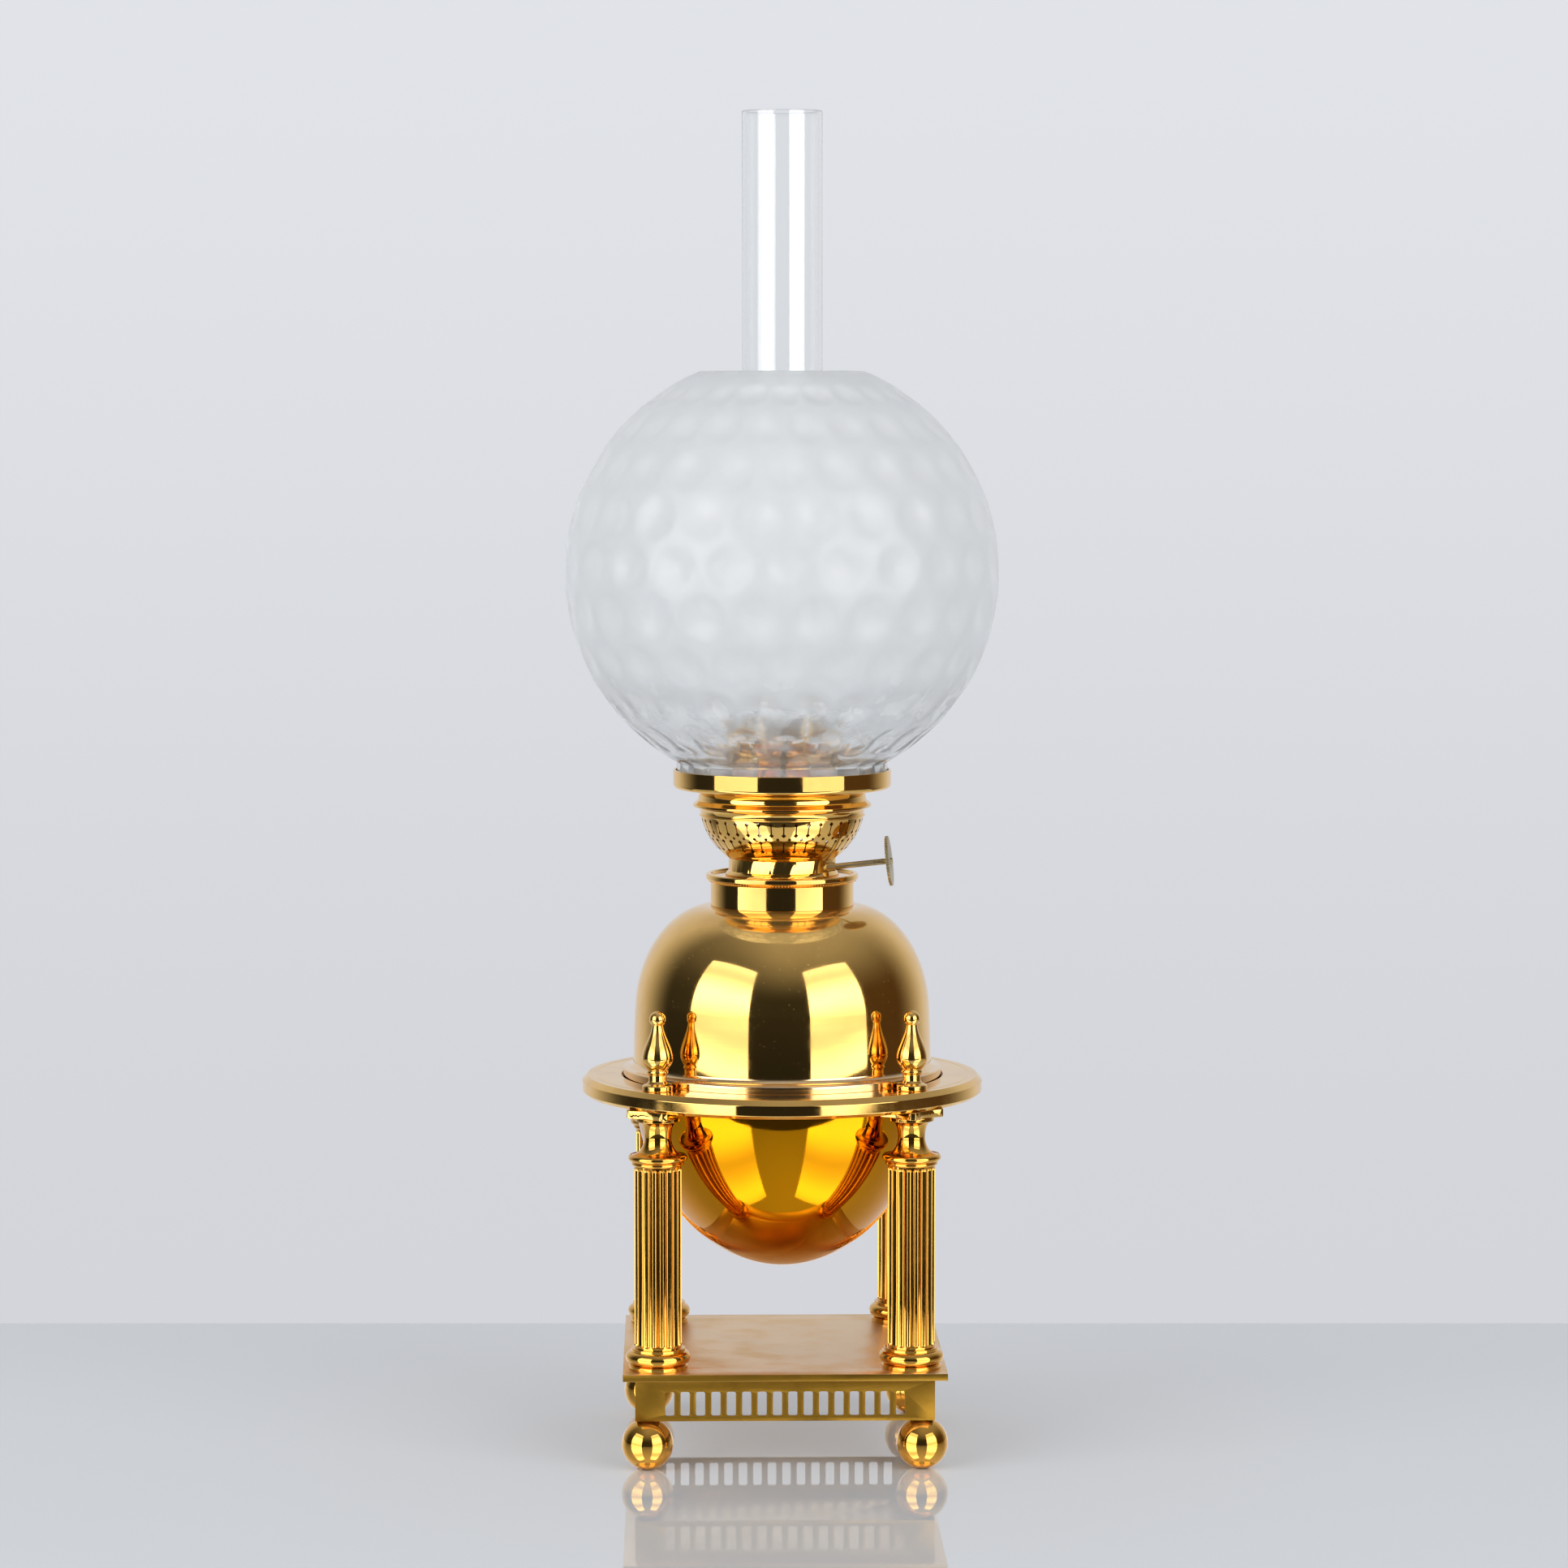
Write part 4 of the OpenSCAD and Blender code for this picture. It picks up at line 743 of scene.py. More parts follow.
def knurl_tree():
    """Stands small upright ribs round a ring, as a milling wheel leaves them."""
    labels = ("Radius", "Height", "Count", "Width", "Rise")
    tree, rule, source, sink = new_rule_tree("milled line", labels)
    sizes = {label: source.outputs[label] for label in labels}
    ring = rule.node("GeometryNodeMeshCircle")
    rule.feed(ring.inputs["Vertices"], sizes["Count"])
    rule.feed(ring.inputs["Radius"], sizes["Radius"])
    lifted = rule.node("GeometryNodeSetPosition")
    rule.feed(lifted.inputs["Geometry"], ring.outputs[0])
    rule.feed(lifted.inputs["Offset"], rule.join(0.0, 0.0, sizes["Height"]))
    rib = rule.node("GeometryNodeMeshUVSphere")
    rib.inputs["Segments"].default_value = 8
    rib.inputs["Rings"].default_value = 5
    rib.inputs["Radius"].default_value = 1.0
    x, y, z = rule.split(rule.node("GeometryNodeInputPosition").outputs[0])
    spread = rule.node("GeometryNodeInstanceOnPoints")
    rule.feed(spread.inputs["Points"], lifted.outputs[0])
    rule.feed(spread.inputs["Instance"], rib.outputs[0])
    rule.feed(spread.inputs["Rotation"], rule.join(0.0, 0.0, rule.math("ARCTAN2", y, x)))
    half = rule.math("DIVIDE", sizes["Width"], 2.0)
    rule.feed(spread.inputs["Scale"], rule.join(half, half, sizes["Rise"]))
    end_rule(rule, spread.outputs[0], source, sink)
    return tree


def blank_mesh(name):
    """One point, for a tree that makes its own shape."""
    mesh = bpy.data.meshes.new(name)
    mesh.from_pydata([(0.0, 0.0, 0.0)], [], [])
    return mesh


class LAMP_OT_stand(bpy.types.Operator):
    """Make the base, the feet, the columns, the finials and the ring plate"""
    bl_idname = "lamp.stand"
    bl_label = "Stand"

    def execute(self, context):
        sizes = context.scene.lamp_stand
        finish = FINISHES
        finish_object("base_plate_worn", from_node("base_plate", sizes.plate_edge),
                      finish["plate"], "stand", "base_plate")
        for side in ("front", "back", "left", "right"):
            node = "apron_" + side
            finish_object(node + "_pierced", from_node(node, sizes.sheet_edge), finish["aged"], "stand", node)
        for corner in CORNERS:
            node = "abacus_" + corner
            finish_object(node + "_filed", from_node(node, sizes.edge), finish["polished"], "stand", node)
        self.feet(finish["deep"])
        for corner in CORNERS:
            self.column(sizes, finish, corner)
            self.finial(sizes, finish["polished"], corner)
        self.ring(sizes, finish["polished"])
        for node in ("corner_blocks", "foot_nuts", "rod_nuts"):
            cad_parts[node].data.materials[0] = finish["aged"]
        for corner in CORNERS:
            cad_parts["tie_rod_" + corner].data.materials[0] = finish["dark"]
        return {"FINISHED"}

    def feet(self, material):
        """Ball feet with a collar and a stud, each standing on a small flat."""
        for name in ("foot_front_left", "foot_front_right", "foot_rear_left", "foot_rear_right"):
            low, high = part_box(name)
            ball_r = (high.x - low.x) / 2
            centre_z = low.z + ball_r - 0.15 * MM
            collar_r, stud_r = 4.0 * MM, 2.0 * MM
            shoulder = bottom("corner_blocks")
            start = math.degrees(math.asin((low.z - centre_z) / ball_r))
            end = math.degrees(math.acos(collar_r / ball_r))
            ball = arc(0.0, centre_z, ball_r, start, end, 44)
            profile = [(0.0, low.z)] + ball + [(collar_r, shoulder), (stud_r, shoulder), (stud_r, high.z),
                                               (0.0, high.z)]
            mesh = turned_mesh(name + "_ball", profile, middle(name), 72)
            finish_object(name + "_ball", mesh, material, "stand", name)

    def column(self, sizes, finish, corner):
        """Turned base, fluted shaft and hollow capital of one column."""
        rod = 2.45 * MM
        node = "column_base_" + corner
        centre = middle(node)
        low, high = bottom(node), top(node)
        outer = reach(node)
        swell = 3.05 * MM
        plinth, fillet = outer - 1.3 * MM, outer - 2.4 * MM
        torus_z = low + 2.4 * MM + swell
        profile = [(rod, low), (plinth, low), (plinth, low + 1.9 * MM), (plinth - 0.9 * MM, low + 2.4 * MM)]
        profile += arc(outer - swell, torus_z, swell, -84, 78, 22)
        profile += [(fillet, high - 1.3 * MM), (fillet, high - 0.1 * MM), (fillet - 0.6 * MM, high), (rod, high)]
        mesh = turned_mesh(node + "_turned", eased(profile, sizes.edge), centre)
        finish_object(node + "_turned", mesh, finish["deep"], "stand", node)

        node = "column_shaft_" + corner
        low, high = bottom(node), top(node)
        shaft_r = reach(node)
        cutter, margin = sizes.flute_r, sizes.flute_margin
        rows = [low + margin * k / 2 for k in range(3)]
        rows += [low + margin + cutter * (1 - math.cos(math.pi / 2 * k / 7)) for k in range(1, 8)]
        rows += [low + high - z for z in reversed(rows)]
        profile = [(rod, low)] + [(shaft_r, z) for z in rows] + [(rod, high)]
        mesh = turned_mesh(node + "_fluted", profile, (0.0, 0.0), sizes.flutes * 14, own_normals=False)
        values = {"Radius": shaft_r, "Flutes": float(sizes.flutes), "Cutter": cutter,
                  "Low": low + margin + cutter, "High": high - margin - cutter}
        mesh = run_rule(FLUTED, mesh, values, finish["deep"], node + "_fluted")
        mesh.transform(Matrix.Translation((centre[0], centre[1], 0.0)))
        crease(mesh, 32.0)
        finish_object(node + "_fluted", mesh, finish["deep"], "stand", node)

        node = "capital_" + corner
        low, high = bottom(node), top(node)
        outer = reach(node)
        bead, swell = 1.0 * MM, 1.6 * MM
        neck_r, ring_r, ring_h = 6.15 * MM, 10.2 * MM, 1.7 * MM
        neck_z = high - ring_h - 7.4 * MM
        torus_z = low + 2 * bead + swell
        flare_z = torus_z + 0.75 * swell
        profile = [(rod, low), (shaft_r + 0.2 * MM, low)]
        profile += arc(shaft_r + 0.2 * MM, low + bead, bead, -80, 60, 10)
        profile += arc(outer - swell, torus_z, swell, -80, 62, 16)
        profile += hollow_curve(outer - 0.5 * swell - 0.4 * MM, flare_z, neck_r, neck_z)
        for k in range(1, 15):
            a = math.pi / 2 * k / 14
            lip = ring_r - 0.6 * MM
            profile.append((lip - (lip - neck_r) * math.cos(a), neck_z + 7.4 * MM * math.sin(a)))
        profile += [(ring_r, high - ring_h), (ring_r, high), (rod, high)]
        mesh = turned_mesh(node + "_turned", eased(profile, sizes.edge), centre)
        finish_object(node + "_turned", mesh, finish["deep"], "stand", node)

    def finial(self, sizes, material, corner):
        """Turned drop with a ball on top, over the tie rod's end."""
        node = "finial_" + corner
        low, high = bottom(node), top(node)
        foot_r, neck_r, collar_r, drop_r = 7.0 * MM, 4.1 * MM, 4.9 * MM, 7.15 * MM
        tip_r, ball_r = 2.45 * MM, 3.7 * MM
        ball_z = high - ball_r
        tip_z = ball_z - 0.7 * ball_r
        drop_z = low + 9.6 * MM
        belly_z = drop_z + 0.27 * (tip_z - drop_z)
        rod, blind = 2.45 * MM, low + 7.6 * MM
        start_r = collar_r - 0.3 * MM
        turned = [(foot_r - 0.2 * MM, 0.0), (foot_r, 0.3), (foot_r, 2.1), (foot_r - 0.4 * MM, 2.6),
                  (neck_r + 0.8 * MM, 3.2), (neck_r, 4.4)]
        profile = [(0.0, blind), (rod, blind), (rod, low)] + [(r, low + z * MM) for r, z in turned]
        turned = [(neck_r, 2.5), (collar_r - 0.3 * MM, 1.7), (collar_r, 1.3), (collar_r, 0.7),
                  (start_r - 0.1 * MM, 0.2)]
        profile += [(r, drop_z - z * MM) for r, z in turned]
        for k in range(0, 13):
            u = k / 12
            profile.append((start_r + (drop_r - start_r) * math.sin(math.pi / 2 * u),
                            drop_z + (belly_z - drop_z) * u))
        for k in range(1, 19):
            u = k / 18
            bend = 0.25 * u + 0.375 * (1 - math.cos(math.pi * u))
            profile.append((drop_r + (tip_r - drop_r) * bend, belly_z + (tip_z - belly_z) * u))
        profile += arc(0.0, ball_z, ball_r, -44, 90, 26)[1:-1]
        profile.append((0.0, high))
        mesh = turned_mesh(node + "_turned", eased(profile, 0.15 * MM, 3, 30.0), middle(node), 72)
        finish_object(node + "_turned", mesh, material, "stand", node)

    def ring(self, sizes, material):
        """Ring plate with a ledge for the font, a wide upper bevel and a small lower one."""
        low, high = bottom("ring_plate"), top("ring_plate")
        outer = reach("ring_plate")
        recess, ledge = 74.5 * MM, 70.4 * MM
        seat = bottom("font_flange")
        line = sizes.scribed_line
        mark = outer - 6.2 * MM
        profile = [(ledge, low), (outer - 1.6 * MM, low), (outer, low + 1.6 * MM), (outer, high - 2.4 * MM),
                   (outer - 2.5 * MM, high), (mark + line, high), (mark, high - line * 0.6), (mark - line, high),
                   (recess, high), (recess, seat), (ledge, seat)]
        mesh = turned_mesh("ring_plate_turned", eased(profile, sizes.edge), (0.0, 0.0), 256)
        finish_object("ring_plate_turned", mesh, material, "stand", "ring_plate")


def crease(mesh, angle):
    """Marks the edges that turn by more than an angle as sharp."""
    shell = bmesh.new()
    shell.from_mesh(mesh)
    for edge in shell.edges:
        edge.smooth = edge.calc_face_angle(0.0) < math.radians(angle)
    for face in shell.faces:
        face.smooth = True
    shell.to_mesh(mesh)
    shell.free()


class LAMP_OT_font(bpy.types.Operator):
    """Make the spun font, its flange and its collar"""
    bl_idname = "lamp.font"
    bl_label = "Font"

    def execute(self, context):
        sizes = context.scene.lamp_font
        edge = context.scene.lamp_stand.edge
        wall = reach("font_bowl")
        seam, cove_top = top("font_bowl"), top("font_flange")
        bowl_low = bottom("font_bowl")
        t, power = sizes.sheet, sizes.spin_power
        depth = seam - bowl_low
        outer = spun_curve(0.0, 0.0, wall, depth, 2.0, 64)
        inner = spun_curve(0.0, 0.0, wall - t, depth - t, 2.0, 32)
        profile = [(r, seam - z) for r, z in outer[:-1]] + [(0.0, bowl_low)]
        profile += [(0.0, bowl_low + t)] + [(r, seam - z) for r, z in reversed(inner[:-1])]
        mesh = turned_mesh("font_bowl_spun", profile, (0.0, 0.0), 192)
        finish_object("font_bowl_spun", mesh, FINISHES["amber"], "font", "font_bowl")

        collar_low = bottom("font_collar")
        shoulder_z = collar_low - sizes.shoulder_rise
        half = wall + 0.05 * MM - sizes.taper - sizes.shoulder_flat
        bore = 28.6 * MM
        early = 2.0 * MM
        outer = spun_curve(sizes.shoulder_flat, shoulder_z - early, half, sizes.shoulder_rise + early, power, 56)
        outer = [point for point in outer if point[1] > shoulder_z + 0.5 * MM]
        inner = spun_curve(sizes.shoulder_flat, shoulder_z, half - t, sizes.shoulder_rise - t, power, 28)
        side = [(wall + 0.05 * MM - sizes.taper * (k / 8) ** 2, cove_top + (shoulder_z - cove_top) * k / 8)
                for k in range(8)]
        profile = [(wall - t, seam), (wall, seam)] + side + outer
        profile += [(bore, collar_low), (bore, collar_low - t)] + list(reversed(inner)) + [(wall - t, cove_top)]
        mesh = turned_mesh("font_dome_spun", profile, (0.0, 0.0), 192)
        finish_object("font_dome_spun", mesh, FINISHES["spun"], "font", "font_dome")

        low, high = bottom("font_flange"), top("font_flange")
        rim = reach("font_flange")
        lip = high - 2.8 * MM
        inner_r = wall + 0.05 * MM
        profile = [(inner_r, low), (rim, low), (rim, lip - 0.5 * MM), (rim - 0.4 * MM, lip)]
        profile += hollow_curve(rim - 0.7 * MM, lip + 0.1 * MM, inner_r + 0.05 * MM, high - 0.05 * MM, 12)
        mesh = turned_mesh("font_flange_turned", eased(profile, 0.2 * MM), (0.0, 0.0), 192)
        finish_object("font_flange_turned", mesh, FINISHES["moulded"], "font", "font_flange")

        low, high = bottom("font_collar"), top("font_collar")
        rim = reach("font_collar")
        profile = [(bore, low), (rim, low), (rim, high), (bore, high)]
        mesh = turned_mesh("font_collar_turned", eased(profile, edge), (0.0, 0.0), 144)
        finish_object("font_collar_turned", mesh, FINISHES["polished"], "font", "font_collar")
        return {"FINISHED"}


class LAMP_OT_burner(bpy.types.Operator):
    """Make the burner's adapter, cup, basket, cover and rings"""
    bl_idname = "lamp.burner"
    bl_label = "Burner"

    def execute(self, context):
        sizes = context.scene.lamp_burner
        stand = context.scene.lamp_stand
        brass = FINISHES["polished"]
        self.adapter(sizes, stand, brass)
        for node in ("burner_cup", "basket", "chimney_gallery"):
            ease = 0.0 if node == "basket" else stand.sheet_edge
            finish_object(node + "_bright", from_node(node, ease, 35.0), brass, "burner", node)
        self.cover(stand, brass)
        self.fitter_ring(stand, brass)
        for node in ("outer_wick_tube", "inner_draught_tube"):
            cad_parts[node].data.materials[0] = FINISHES["aged"]
        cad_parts["spindle_gland"].data.materials[0] = FINISHES["dark"]
        return {"FINISHED"}

    def adapter(self, sizes, stand, material):
        """Adapter ring with a raised rim, a recess for the burner and a milled line."""
        low, high = bottom("burner_adapter"), top("burner_adapter")
        foot = bottom("burner_adapter") + 6.0 * MM
        outer = reach("burner_adapter")
        bore, skirt = 24.85 * MM, 28.55 * MM
        seat = high - 1.1 * MM
        rim = outer - sizes.rim
        profile = [(bore, low), (skirt, low), (skirt, foot), (outer - 1.8 * MM, foot),
                   (outer - 1.4 * MM, foot + 0.48 * MM), (outer - 0.9 * MM, foot + 1.0 * MM),
                   (outer, foot + 1.6 * MM), (outer, high - 0.6 * MM), (outer - 0.5 * MM, high),
                   (rim, high), (rim - 0.3 * MM, seat), (bore, seat)]
        mesh = turned_mesh("burner_adapter_turned", eased(profile, stand.edge), (0.0, 0.0), 144)
        finish_object("burner_adapter_turned", mesh, material, "burner", "burner_adapter")
        values = {"Radius": outer - 1.15 * MM, "Height": foot + 0.75 * MM, "Count": float(sizes.knurl_count),
                  "Width": sizes.knurl, "Rise": 0.35 * MM}
        mesh = run_rule(KNURLED, blank_mesh("milled"), values, material, "adapter_milled_line")
        mesh.shade_smooth()
        finish_object("adapter_milled_line", mesh, material, "burner")

    def cover(self, stand, material):
        """Spun cover over the basket: bead, flared band, lip, dome and flat."""
        low, high = bottom("basket_cover"), top("basket_cover")
        lip = reach("basket_cover")
        t = 0.7 * MM
        basket = reach("basket")
        lip_z = low + 4.6 * MM
        lip_top = lip_z + 1.2 * MM
        dome = lip - 2.6 * MM
        flat, inner = 34.5 * MM, 22.3 * MM
        neck, neck_z = basket + 0.1 * MM, low + 1.1 * MM
        profile = [(basket - 1.2 * MM, low), (basket + 0.5 * MM, low), (basket + 0.7 * MM, low + 0.4 * MM),
                   (basket + 0.5 * MM, low + 0.8 * MM)]
        steps = 14
        for k in range(steps + 1):
            a = math.pi / 2 * k / steps
            profile.append((lip - (lip - neck) * math.cos(a), neck_z + (lip_z - neck_z) * math.sin(a)))
        profile += [(lip, lip_top - 0.2 * MM), (lip - 0.3 * MM, lip_top), (lip - 1.2 * MM, lip_top + 0.7 * MM),
                    (dome + 0.5 * MM, lip_top + 1.5 * MM)]
        for k in range(steps + 1):
            a = math.pi / 2 * k / steps
            r = flat + (dome + 0.2 * MM - flat) * math.cos(a) ** 0.8
            profile.append((r, lip_top + 2.2 * MM + (high - lip_top - 2.2 * MM) * math.sin(a)))
        profile += [(inner, high), (inner, high - t), (flat - 0.4 * MM, high - t),
                    (dome - 1.8 * MM, high - 2.2 * MM), (dome - 0.8 * MM, lip_top + 1.6 * MM),
                    (lip - 1.8 * MM, lip_top), (lip - 1.0 * MM, lip_top - 0.5 * MM)]
        inside, inside_z = lip - 1.0 * MM, lip_z + 0.5 * MM
        for k in range(steps + 1):
            a = math.pi / 2 * (1 - k / steps)
            profile.append((inside - (inside - neck + 0.7 * MM) * math.cos(a),
                            neck_z + (inside_z - neck_z) * math.sin(a)))
        mesh = turned_mesh("basket_cover_spun", eased(profile, 0.18 * MM), (0.0, 0.0), 144)
        finish_object("basket_cover_spun", mesh, material, "burner", "basket_cover")

    def fitter_ring(self, stand, material):
        """Ring with an upright band that the ball shade stands in."""
        low, high = bottom("shade_ring"), top("shade_ring")
        outer = reach("shade_ring")
        t, round_r = 1.2 * MM, 2.2 * MM
        inner = 26.8 * MM
        profile = [(inner, low)] + arc(outer - round_r, low + round_r, round_r, -90, 0, 10)
        profile += [(outer, high), (outer - t, high)]
        profile += arc(outer - round_r, low + round_r, round_r - t, 0, -90, 6) + [(inner, low + t)]
        mesh = turned_mesh("shade_ring_spun", eased(profile, stand.edge), (0.0, 0.0), 192)
        finish_object("shade_ring_spun", mesh, material, "burner", "shade_ring")


class LAMP_OT_wick_raiser(bpy.types.Operator):
    """Make the knob, its spindle, the wick wheels and the wick"""
    bl_idname = "lamp.wick_raiser"
    bl_label = "Wick raiser"

    def execute(self, context):
        finish_object("knob_milled", from_node("knob", 0.12 * MM, 40.0), FINISHES["dark"], "wick_raiser", "knob")
        finish_object("spindle_worn", from_node("spindle", 0.2 * MM, 40.0), FINISHES["dark"],
                      "wick_raiser", "spindle")
        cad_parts["wick_wheels"].data.materials[0] = FINISHES["dark"]
        finish_object("wick_woven", from_node("wick", 0.25 * MM, 40.0), FINISHES["cotton"], "wick", "wick")
        return {"FINISHED"}


class LAMP_OT_glassware(bpy.types.Operator):
    """Make the chimney and the dimpled ball shade"""
    bl_idname = "lamp.glassware"
    bl_label = "Glassware"

    def execute(self, context):
        sizes = context.scene.lamp_glass
        self.chimney(sizes)
        self.shade(sizes)
        return {"FINISHED"}

    def chimney(self, sizes):
        """Wide foot, waist over the flame and a long straight tube, with fire-rounded ends."""
        low, high = bottom("chimney"), top("chimney")
        foot_r, t = reach("chimney"), sizes.chimney_wall
        foot_z = low + sizes.chimney_foot
        waist_z = foot_z + sizes.waist_drop
        tube_z = waist_z + sizes.waist_rise
        steps = 20
        curve = []
        for k in range(steps + 1):
            c = math.cos(math.pi * k / steps)
            r = (foot_r + sizes.waist_r) / 2 + (foot_r - sizes.waist_r) / 2 * c
            curve.append((r, foot_z + sizes.waist_drop * k / steps))
        for k in range(1, steps + 1):
            c = math.cos(math.pi * k / steps)
            r = (sizes.tube_r + sizes.waist_r) / 2 - (sizes.tube_r - sizes.waist_r) / 2 * c
            curve.append((r, waist_z + sizes.waist_rise * k / steps))
        outer = [(foot_r, low)] + curve
        outer += [(sizes.tube_r, tube_z + (high - tube_z) * k / 8) for k in range(1, 9)]
        inner = [(r - t, z) for r, z in reversed(outer)]
        mesh = turned_mesh("chimney_blown", eased(outer + inner, 0.7 * MM, 5), (0.0, 0.0), 128)
        finish_object("chimney_blown", mesh, FINISHES["clear"], "chimney", "chimney")

    def shade(self, sizes):
        """Ball with a short neck and a wide mouth, its wall drawn in by rows of dimples."""
        low, high = bottom("shade"), top("shade")
        ball_r = CAD_BOX[1][0]
        t, neck_r, mouth = sizes.shade_wall, sizes.shade_neck_r, sizes.shade_mouth
        neck_top = low + sizes.shade_neck
        ball_r = round(ball_r / MM, 1) * MM
        centre_z = neck_top + math.sqrt(ball_r ** 2 - neck_r ** 2)
        start = math.degrees(math.asin((neck_top - centre_z) / ball_r))
        end = math.degrees(math.acos(mouth / ball_r))
        inner_r = ball_r - t
        inner_start = math.degrees(-math.acos((neck_r - t) / inner_r))
        inner_end = math.degrees(math.asin((high - centre_z) / inner_r))
        outer = [(neck_r, low), (neck_r, low + 4 * MM), (neck_r, low + 8 * MM)]
        outer += arc(0.0, centre_z, ball_r, start, end, 176)
        inner = arc(0.0, centre_z, inner_r, inner_end, inner_start, 56)
        inner += [(neck_r - t, low + 8 * MM), (neck_r - t, low + 4 * MM), (neck_r - t, low)]
        mesh = turned_mesh("shade_blank", eased(outer + inner, 0.9 * MM, 5), (0.0, 0.0),
                           sizes.dimples * 15, own_normals=False)
        values = {"Radius": ball_r, "Centre": centre_z, "Wall": t, "Dimples": float(sizes.dimples),
                  "Rows": float(sizes.rows), "Step": sizes.row_step, "Start": sizes.row_start,
                  "Depth": sizes.dimple_depth, "Low": neck_top + 3 * MM, "High": high - 2 * MM}
        mesh = run_rule(DIMPLED, mesh, values, FINISHES["frosted"], "shade_blown")
        finish_object("shade_blown", mesh, FINISHES["frosted"], "shade", "shade")


class LAMP_OT_stage(bpy.types.Operator):
    """Make the table, the room, the lights and the camera"""
    bl_idname = "lamp.stage"
    bl_label = "Stage"

    def execute(self, context):
        studio = context.scene.lamp_studio
        turn = Matrix.Rotation(studio.camera_turn, 4, "Z")
        self.table(studio, turn)
        self.room(context.scene, studio)
        self.softbox(studio, turn, "softbox_left", -48.5, 49.4, -2.5)
        self.softbox(studio, turn, "softbox_right", 42.7, 46.2, 2.5)
        self.camera(context.scene, studio, turn)
        return {"FINISHED"}

    def table(self, studio, turn):
        """Glossy pale table with its far edge behind the lamp."""
        back, front, half, thick = studio.table_back, -studio.table_front, 1.1, 0.03
        mesh = bpy.data.meshes.new("table_top")
        corners = [(x, y, z) for z in (-thick, 0.0) for y in (front, back) for x in (-half, half)]
        sides = [(0, 2, 3, 1), (4, 5, 7, 6), (0, 1, 5, 4), (2, 6, 7, 3), (0, 4, 6, 2), (1, 3, 7, 5)]
        mesh.from_pydata(corners, [], sides)
        mesh.transform(turn)
        material, rule, shader, place = new_finish("glossy_table")
        # Painted shade: metal that mirrors the table sees it darker than the camera does.
        mirrored = rule.node("ShaderNodeLightPath").outputs["Is Glossy Ray"]
        shaded_in_mirrors = rgba([v * 0.8 for v in studio.table])
        rule.feed(shader.inputs["Base Color"], rule.blend(mirrored, rgba(studio.table), shaded_in_mirrors))
        shader.inputs["IOR"].default_value = 1.6
        haze = rule.noise(place, 9.0, 3.0, 0.5)
        rule.feed(shader.inputs["Roughness"], rule.between(haze, 0.3, 0.7, 0.012, 0.02))
        sheen = rule.node("ShaderNodeBsdfAnisotropic")
        sheen.inputs["Roughness"].default_value = 0.04
        rule.feed(sheen.inputs["Color"], rule.scaled((0.6, 0.6, 0.6), mirrored))
        both = rule.node("ShaderNodeAddShader")
        material.node_tree.links.new(shader.outputs[0], both.inputs[0])
        material.node_tree.links.new(sheen.outputs[0], both.inputs[1])
        material.node_tree.links.new(both.outputs[0], material.node_tree.nodes["Material Output"].inputs["Surface"])
        mesh.materials.append(material)
        table = bpy.data.objects.new("table_top", mesh)
        bpy.context.scene.collection.objects.link(table)

    def room(self, scene, studio):
        """Pale behind the lamp, dark in front, with a paler ceiling, as metal and glass see it."""
        world = bpy.data.worlds.new("studio_room")
        world.use_nodes = True
        scene.world = world
        rule = Rule(world.node_tree)
        way = rule.vector("NORMALIZE", rule.node("ShaderNodeTexCoord").outputs["Generated"])
        x, y, z = rule.split(way)
        around = rule.math("ABSOLUTE", rule.math("ARCTAN2", x, rule.math("MULTIPLY", y, -1.0)))
        behind = rule.between(around, math.radians(100.0), math.radians(150.0))
        pale = rgba(studio.backdrop)
        dark = rule.scaled((studio.room, studio.room, studio.room), rule.between(z, -0.2, 0.1, 0.5, 1.0))
        brown = (studio.room * 2.2, studio.room * 1.4, studio.room * 0.8, 1.0)
        sides = rule.blend(rule.between(x, 0.55, 0.95), dark, brown)
        walls = rule.blend(behind, sides, pale)
        level = studio.floor
        ground_front = rule.math("MULTIPLY", rule.between(z, -0.22, -0.13, 1.0, 0.0),
                                 rule.math("SUBTRACT", 1.0, behind))
        lower = rule.blend(ground_front, walls, (level, level, level * 1.02, 1.0))
        level = studio.ceiling
        overhead = rule.math("MULTIPLY", rule.between(z, 0.25, 1.0), rule.between(x, -0.7, 0.1, 0.35, 1.0))
        seen = rule.blend(overhead, lower, (level, level, level * 1.03, 1.0))
        path = rule.node("ShaderNodeLightPath")
        straight = rule.math("MAXIMUM", path.outputs["Is Camera Ray"], path.outputs["Is Transmission Ray"])
        matt = rule.blend(path.outputs["Is Diffuse Ray"], seen, rgba([v * 0.66 for v in studio.backdrop]))
        dim = rgba([v * k for v, k in zip(studio.backdrop, (0.9, 0.905, 0.905))])
        bright = rgba([v * k for v, k in zip(studio.backdrop, (1.04, 1.05, 1.04))])
        paper = rule.blend(rule.between(z, -0.19, 0.1), dim, bright)
        shown = rule.blend(straight, matt, paper)
        ground = world.node_tree.nodes["Background"]
        rule.feed(ground.inputs["Color"], shown)
        ground.inputs["Strength"].default_value = 1.0

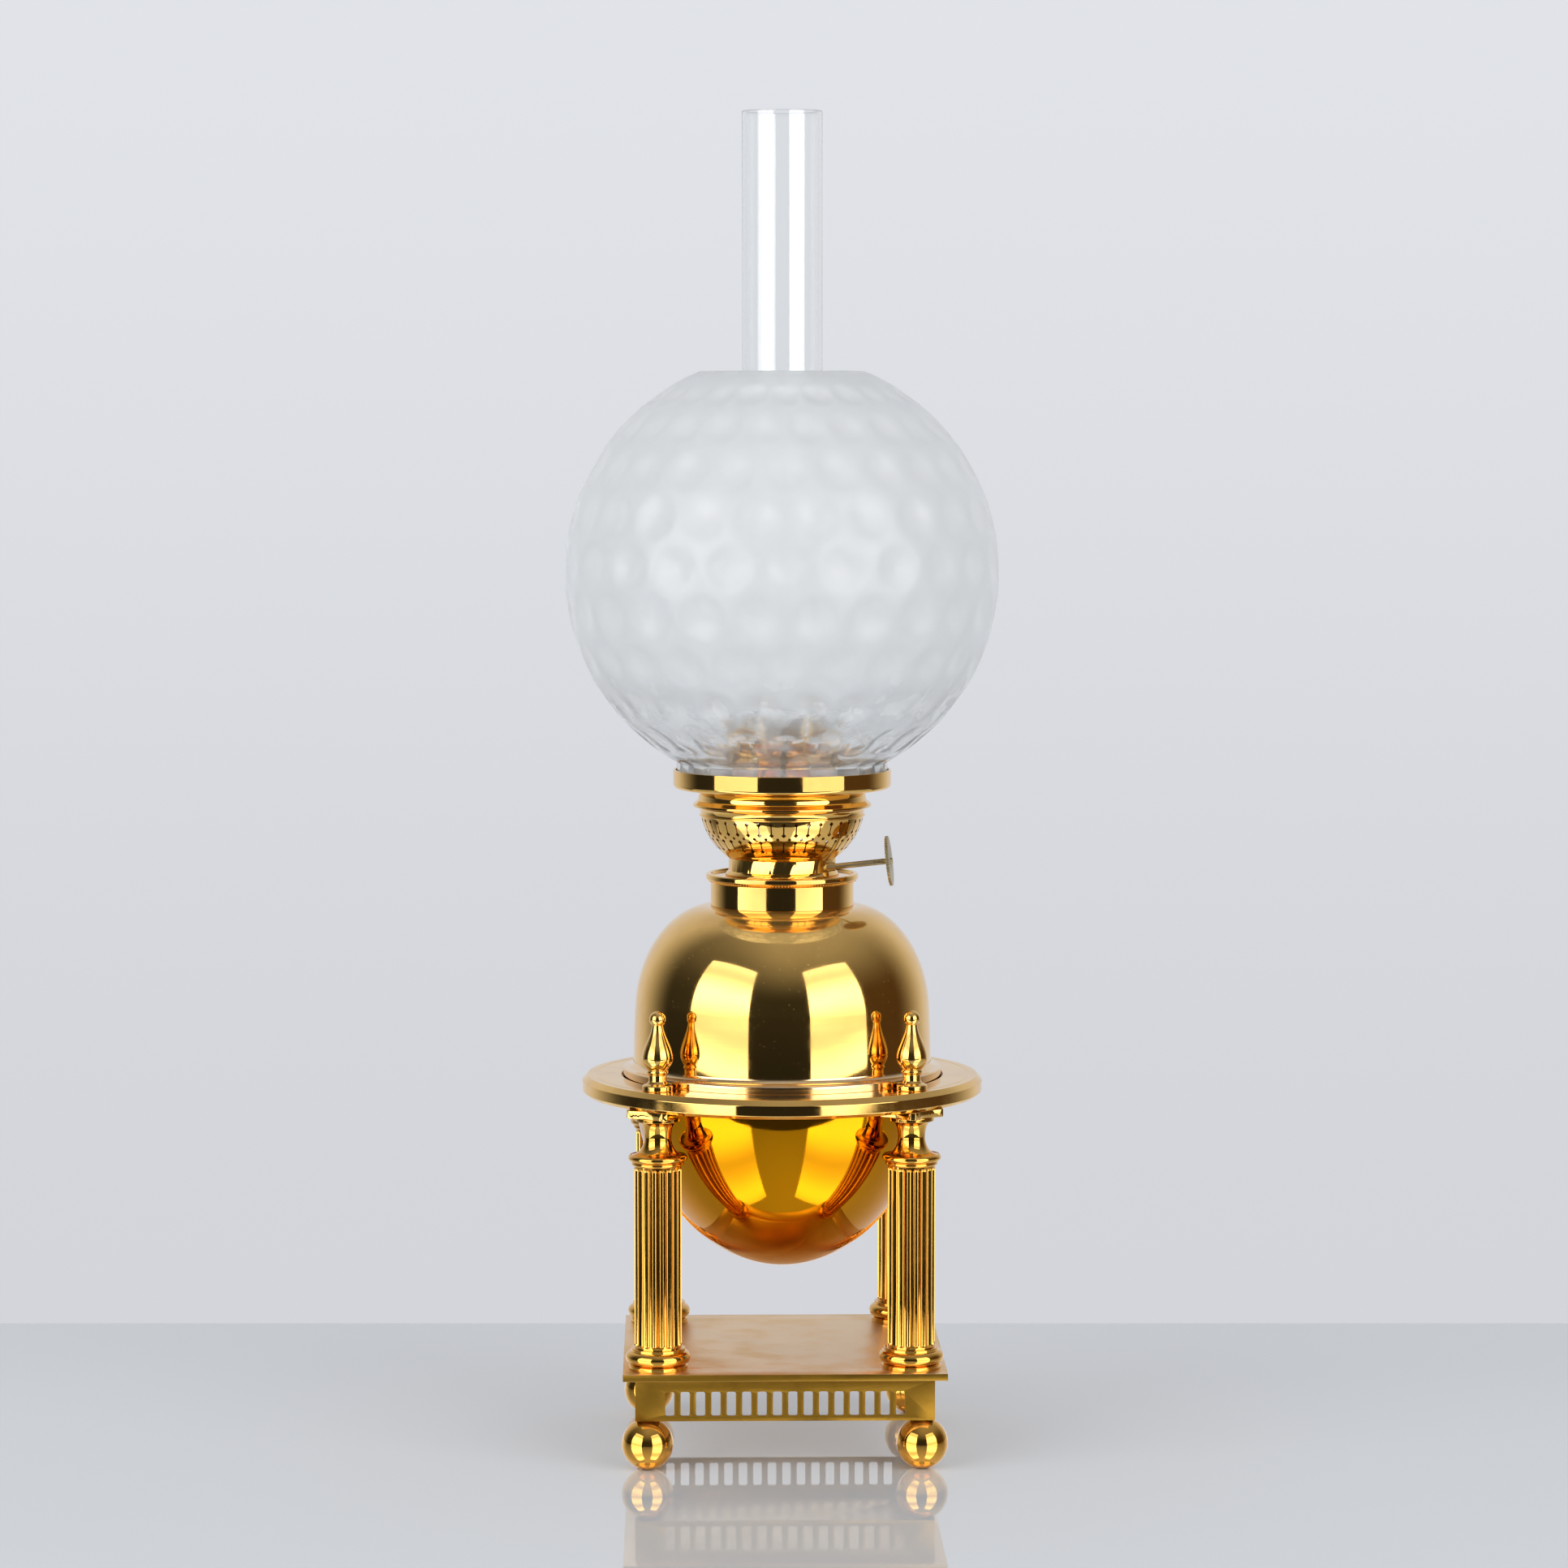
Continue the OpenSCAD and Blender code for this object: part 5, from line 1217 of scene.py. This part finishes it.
    def softbox(self, studio, turn, name, azimuth, spread, roll):
        """One tall softbox beside the camera, facing the lamp and brighter over its two bulbs.

        It shows in metal and in the glass's own reflections, and not straight through the glass. Its
        upper part shows only in what the table mirrors into the metal.
        """
        away, low_z, cap_z, high_z = 2.2, -0.145, 2.25, 4.3
        tall, middle_z = high_z - low_z, (low_z + high_z) / 2
        wide = 2 * away * math.tan(math.radians(spread / 2))
        light = bpy.data.lights.new(name, "AREA")
        light.shape = "RECTANGLE"
        light.size = wide
        light.size_y = tall
        light.energy = wide * tall * math.pi
        light.use_nodes = True
        rule = Rule(light.node_tree)
        across, up, _ = rule.split(rule.node("ShaderNodeNewGeometry").outputs["Parametric"])
        level = studio.softbox
        for bulb_z, half, power in ((0.85, 0.9, 1.0), (-0.1, 0.2, 0.75), (3.3, 1.8, 1.0)):
            off = rule.math("ABSOLUTE", rule.math("SUBTRACT", up, (bulb_z - low_z) / tall))
            glow = rule.between(off, 0.0, half / tall, power * studio.hot_spot * studio.softbox, 0.0)
            level = rule.math("ADD", level, glow)
        path = rule.node("ShaderNodeLightPath")
        mirrored = rule.math("MINIMUM", path.outputs["Glossy Depth"], 1.0)
        through = rule.math("MULTIPLY", path.outputs["Is Transmission Ray"],
                            rule.math("SUBTRACT", 1.0, mirrored))
        upper = rule.math("GREATER_THAN", up, (cap_z - low_z) / tall)
        once = rule.math("LESS_THAN", path.outputs["Glossy Depth"], 1.5)
        level = rule.math("MULTIPLY", level, rule.math("SUBTRACT", 1.0, rule.math("MULTIPLY", upper, once)))
        emission = light.node_tree.nodes["Emission"]
        rule.feed(emission.inputs["Strength"],
                  rule.math("MULTIPLY", level, rule.math("SUBTRACT", 1.0, through)))
        lamp = bpy.data.objects.new(name, light)
        bpy.context.scene.collection.objects.link(lamp)
        angle = math.radians(azimuth)
        spot = turn @ Vector((away * math.sin(angle), -away * math.cos(angle), middle_z))
        aim = Vector((0.0, 0.0, middle_z)) - spot
        rolled = Matrix.Rotation(math.radians(roll), 4, "Z")
        lamp.matrix_world = Matrix.Translation(spot) @ aim.to_track_quat("-Z", "Y").to_matrix().to_4x4() @ rolled
        lamp.visible_camera = False

    def camera(self, scene, studio, turn):
        """Long lens a little above the lamp's middle, tilted slightly down."""
        data = bpy.data.cameras.new("view")
        data.lens = studio.lens
        data.sensor_width = 36.0
        data.shift_x = studio.shift
        data.clip_end = 50.0
        eye = bpy.data.objects.new("view", data)
        scene.collection.objects.link(eye)
        spot = turn @ Vector((0.0, -studio.camera_far, studio.camera_up))
        tilt = Matrix.Rotation(math.pi / 2 - studio.camera_down, 4, "X")
        eye.matrix_world = Matrix.Translation(spot) @ turn @ tilt
        scene.camera = eye


class LAMP_PT_panel(bpy.types.Panel):
    """Lists the lamp's pieces and their sizes"""
    bl_idname = "LAMP_PT_panel"
    bl_label = "Kerosene lamp"
    bl_space_type = "VIEW_3D"
    bl_region_type = "UI"
    bl_category = "Lamp"

    def draw(self, context):
        for maker in MAKERS:
            self.layout.operator(maker.bl_idname)
        for name, group in GROUPS.items():
            box = self.layout.box()
            box.label(text=name.replace("_", " ").capitalize())
            for key in group.__annotations__:
                box.prop(getattr(context.scene, name), key)


MAKERS = (LAMP_OT_stand, LAMP_OT_font, LAMP_OT_burner, LAMP_OT_wick_raiser, LAMP_OT_glassware, LAMP_OT_stage)
FINISHES = {}
FLUTED = DIMPLED = KNURLED = None


def register():
    """Registers the sizes, the operators and the panel."""
    for group in GROUPS.values():
        bpy.utils.register_class(group)
    for name, group in GROUPS.items():
        setattr(bpy.types.Scene, name, PointerProperty(type=group))
    for maker in MAKERS:
        bpy.utils.register_class(maker)
    bpy.utils.register_class(LAMP_PT_panel)


def unregister():
    """Takes the panel, the operators and the sizes away again."""
    bpy.utils.unregister_class(LAMP_PT_panel)
    for maker in reversed(MAKERS):
        bpy.utils.unregister_class(maker)
    for name, group in GROUPS.items():
        delattr(bpy.types.Scene, name)
        bpy.utils.unregister_class(group)


def main():
    global FLUTED, DIMPLED, KNURLED
    register()
    scene = bpy.context.scene
    scene.view_settings.view_transform = "Standard"
    FINISHES.update(make_finishes(scene))
    FLUTED, DIMPLED, KNURLED = fluted_tree(), dimpled_glass_tree(), knurl_tree()
    for maker in MAKERS:
        group, action = maker.bl_idname.split(".")
        getattr(getattr(bpy.ops, group), action)()


if __name__ == "__main__":
    main()
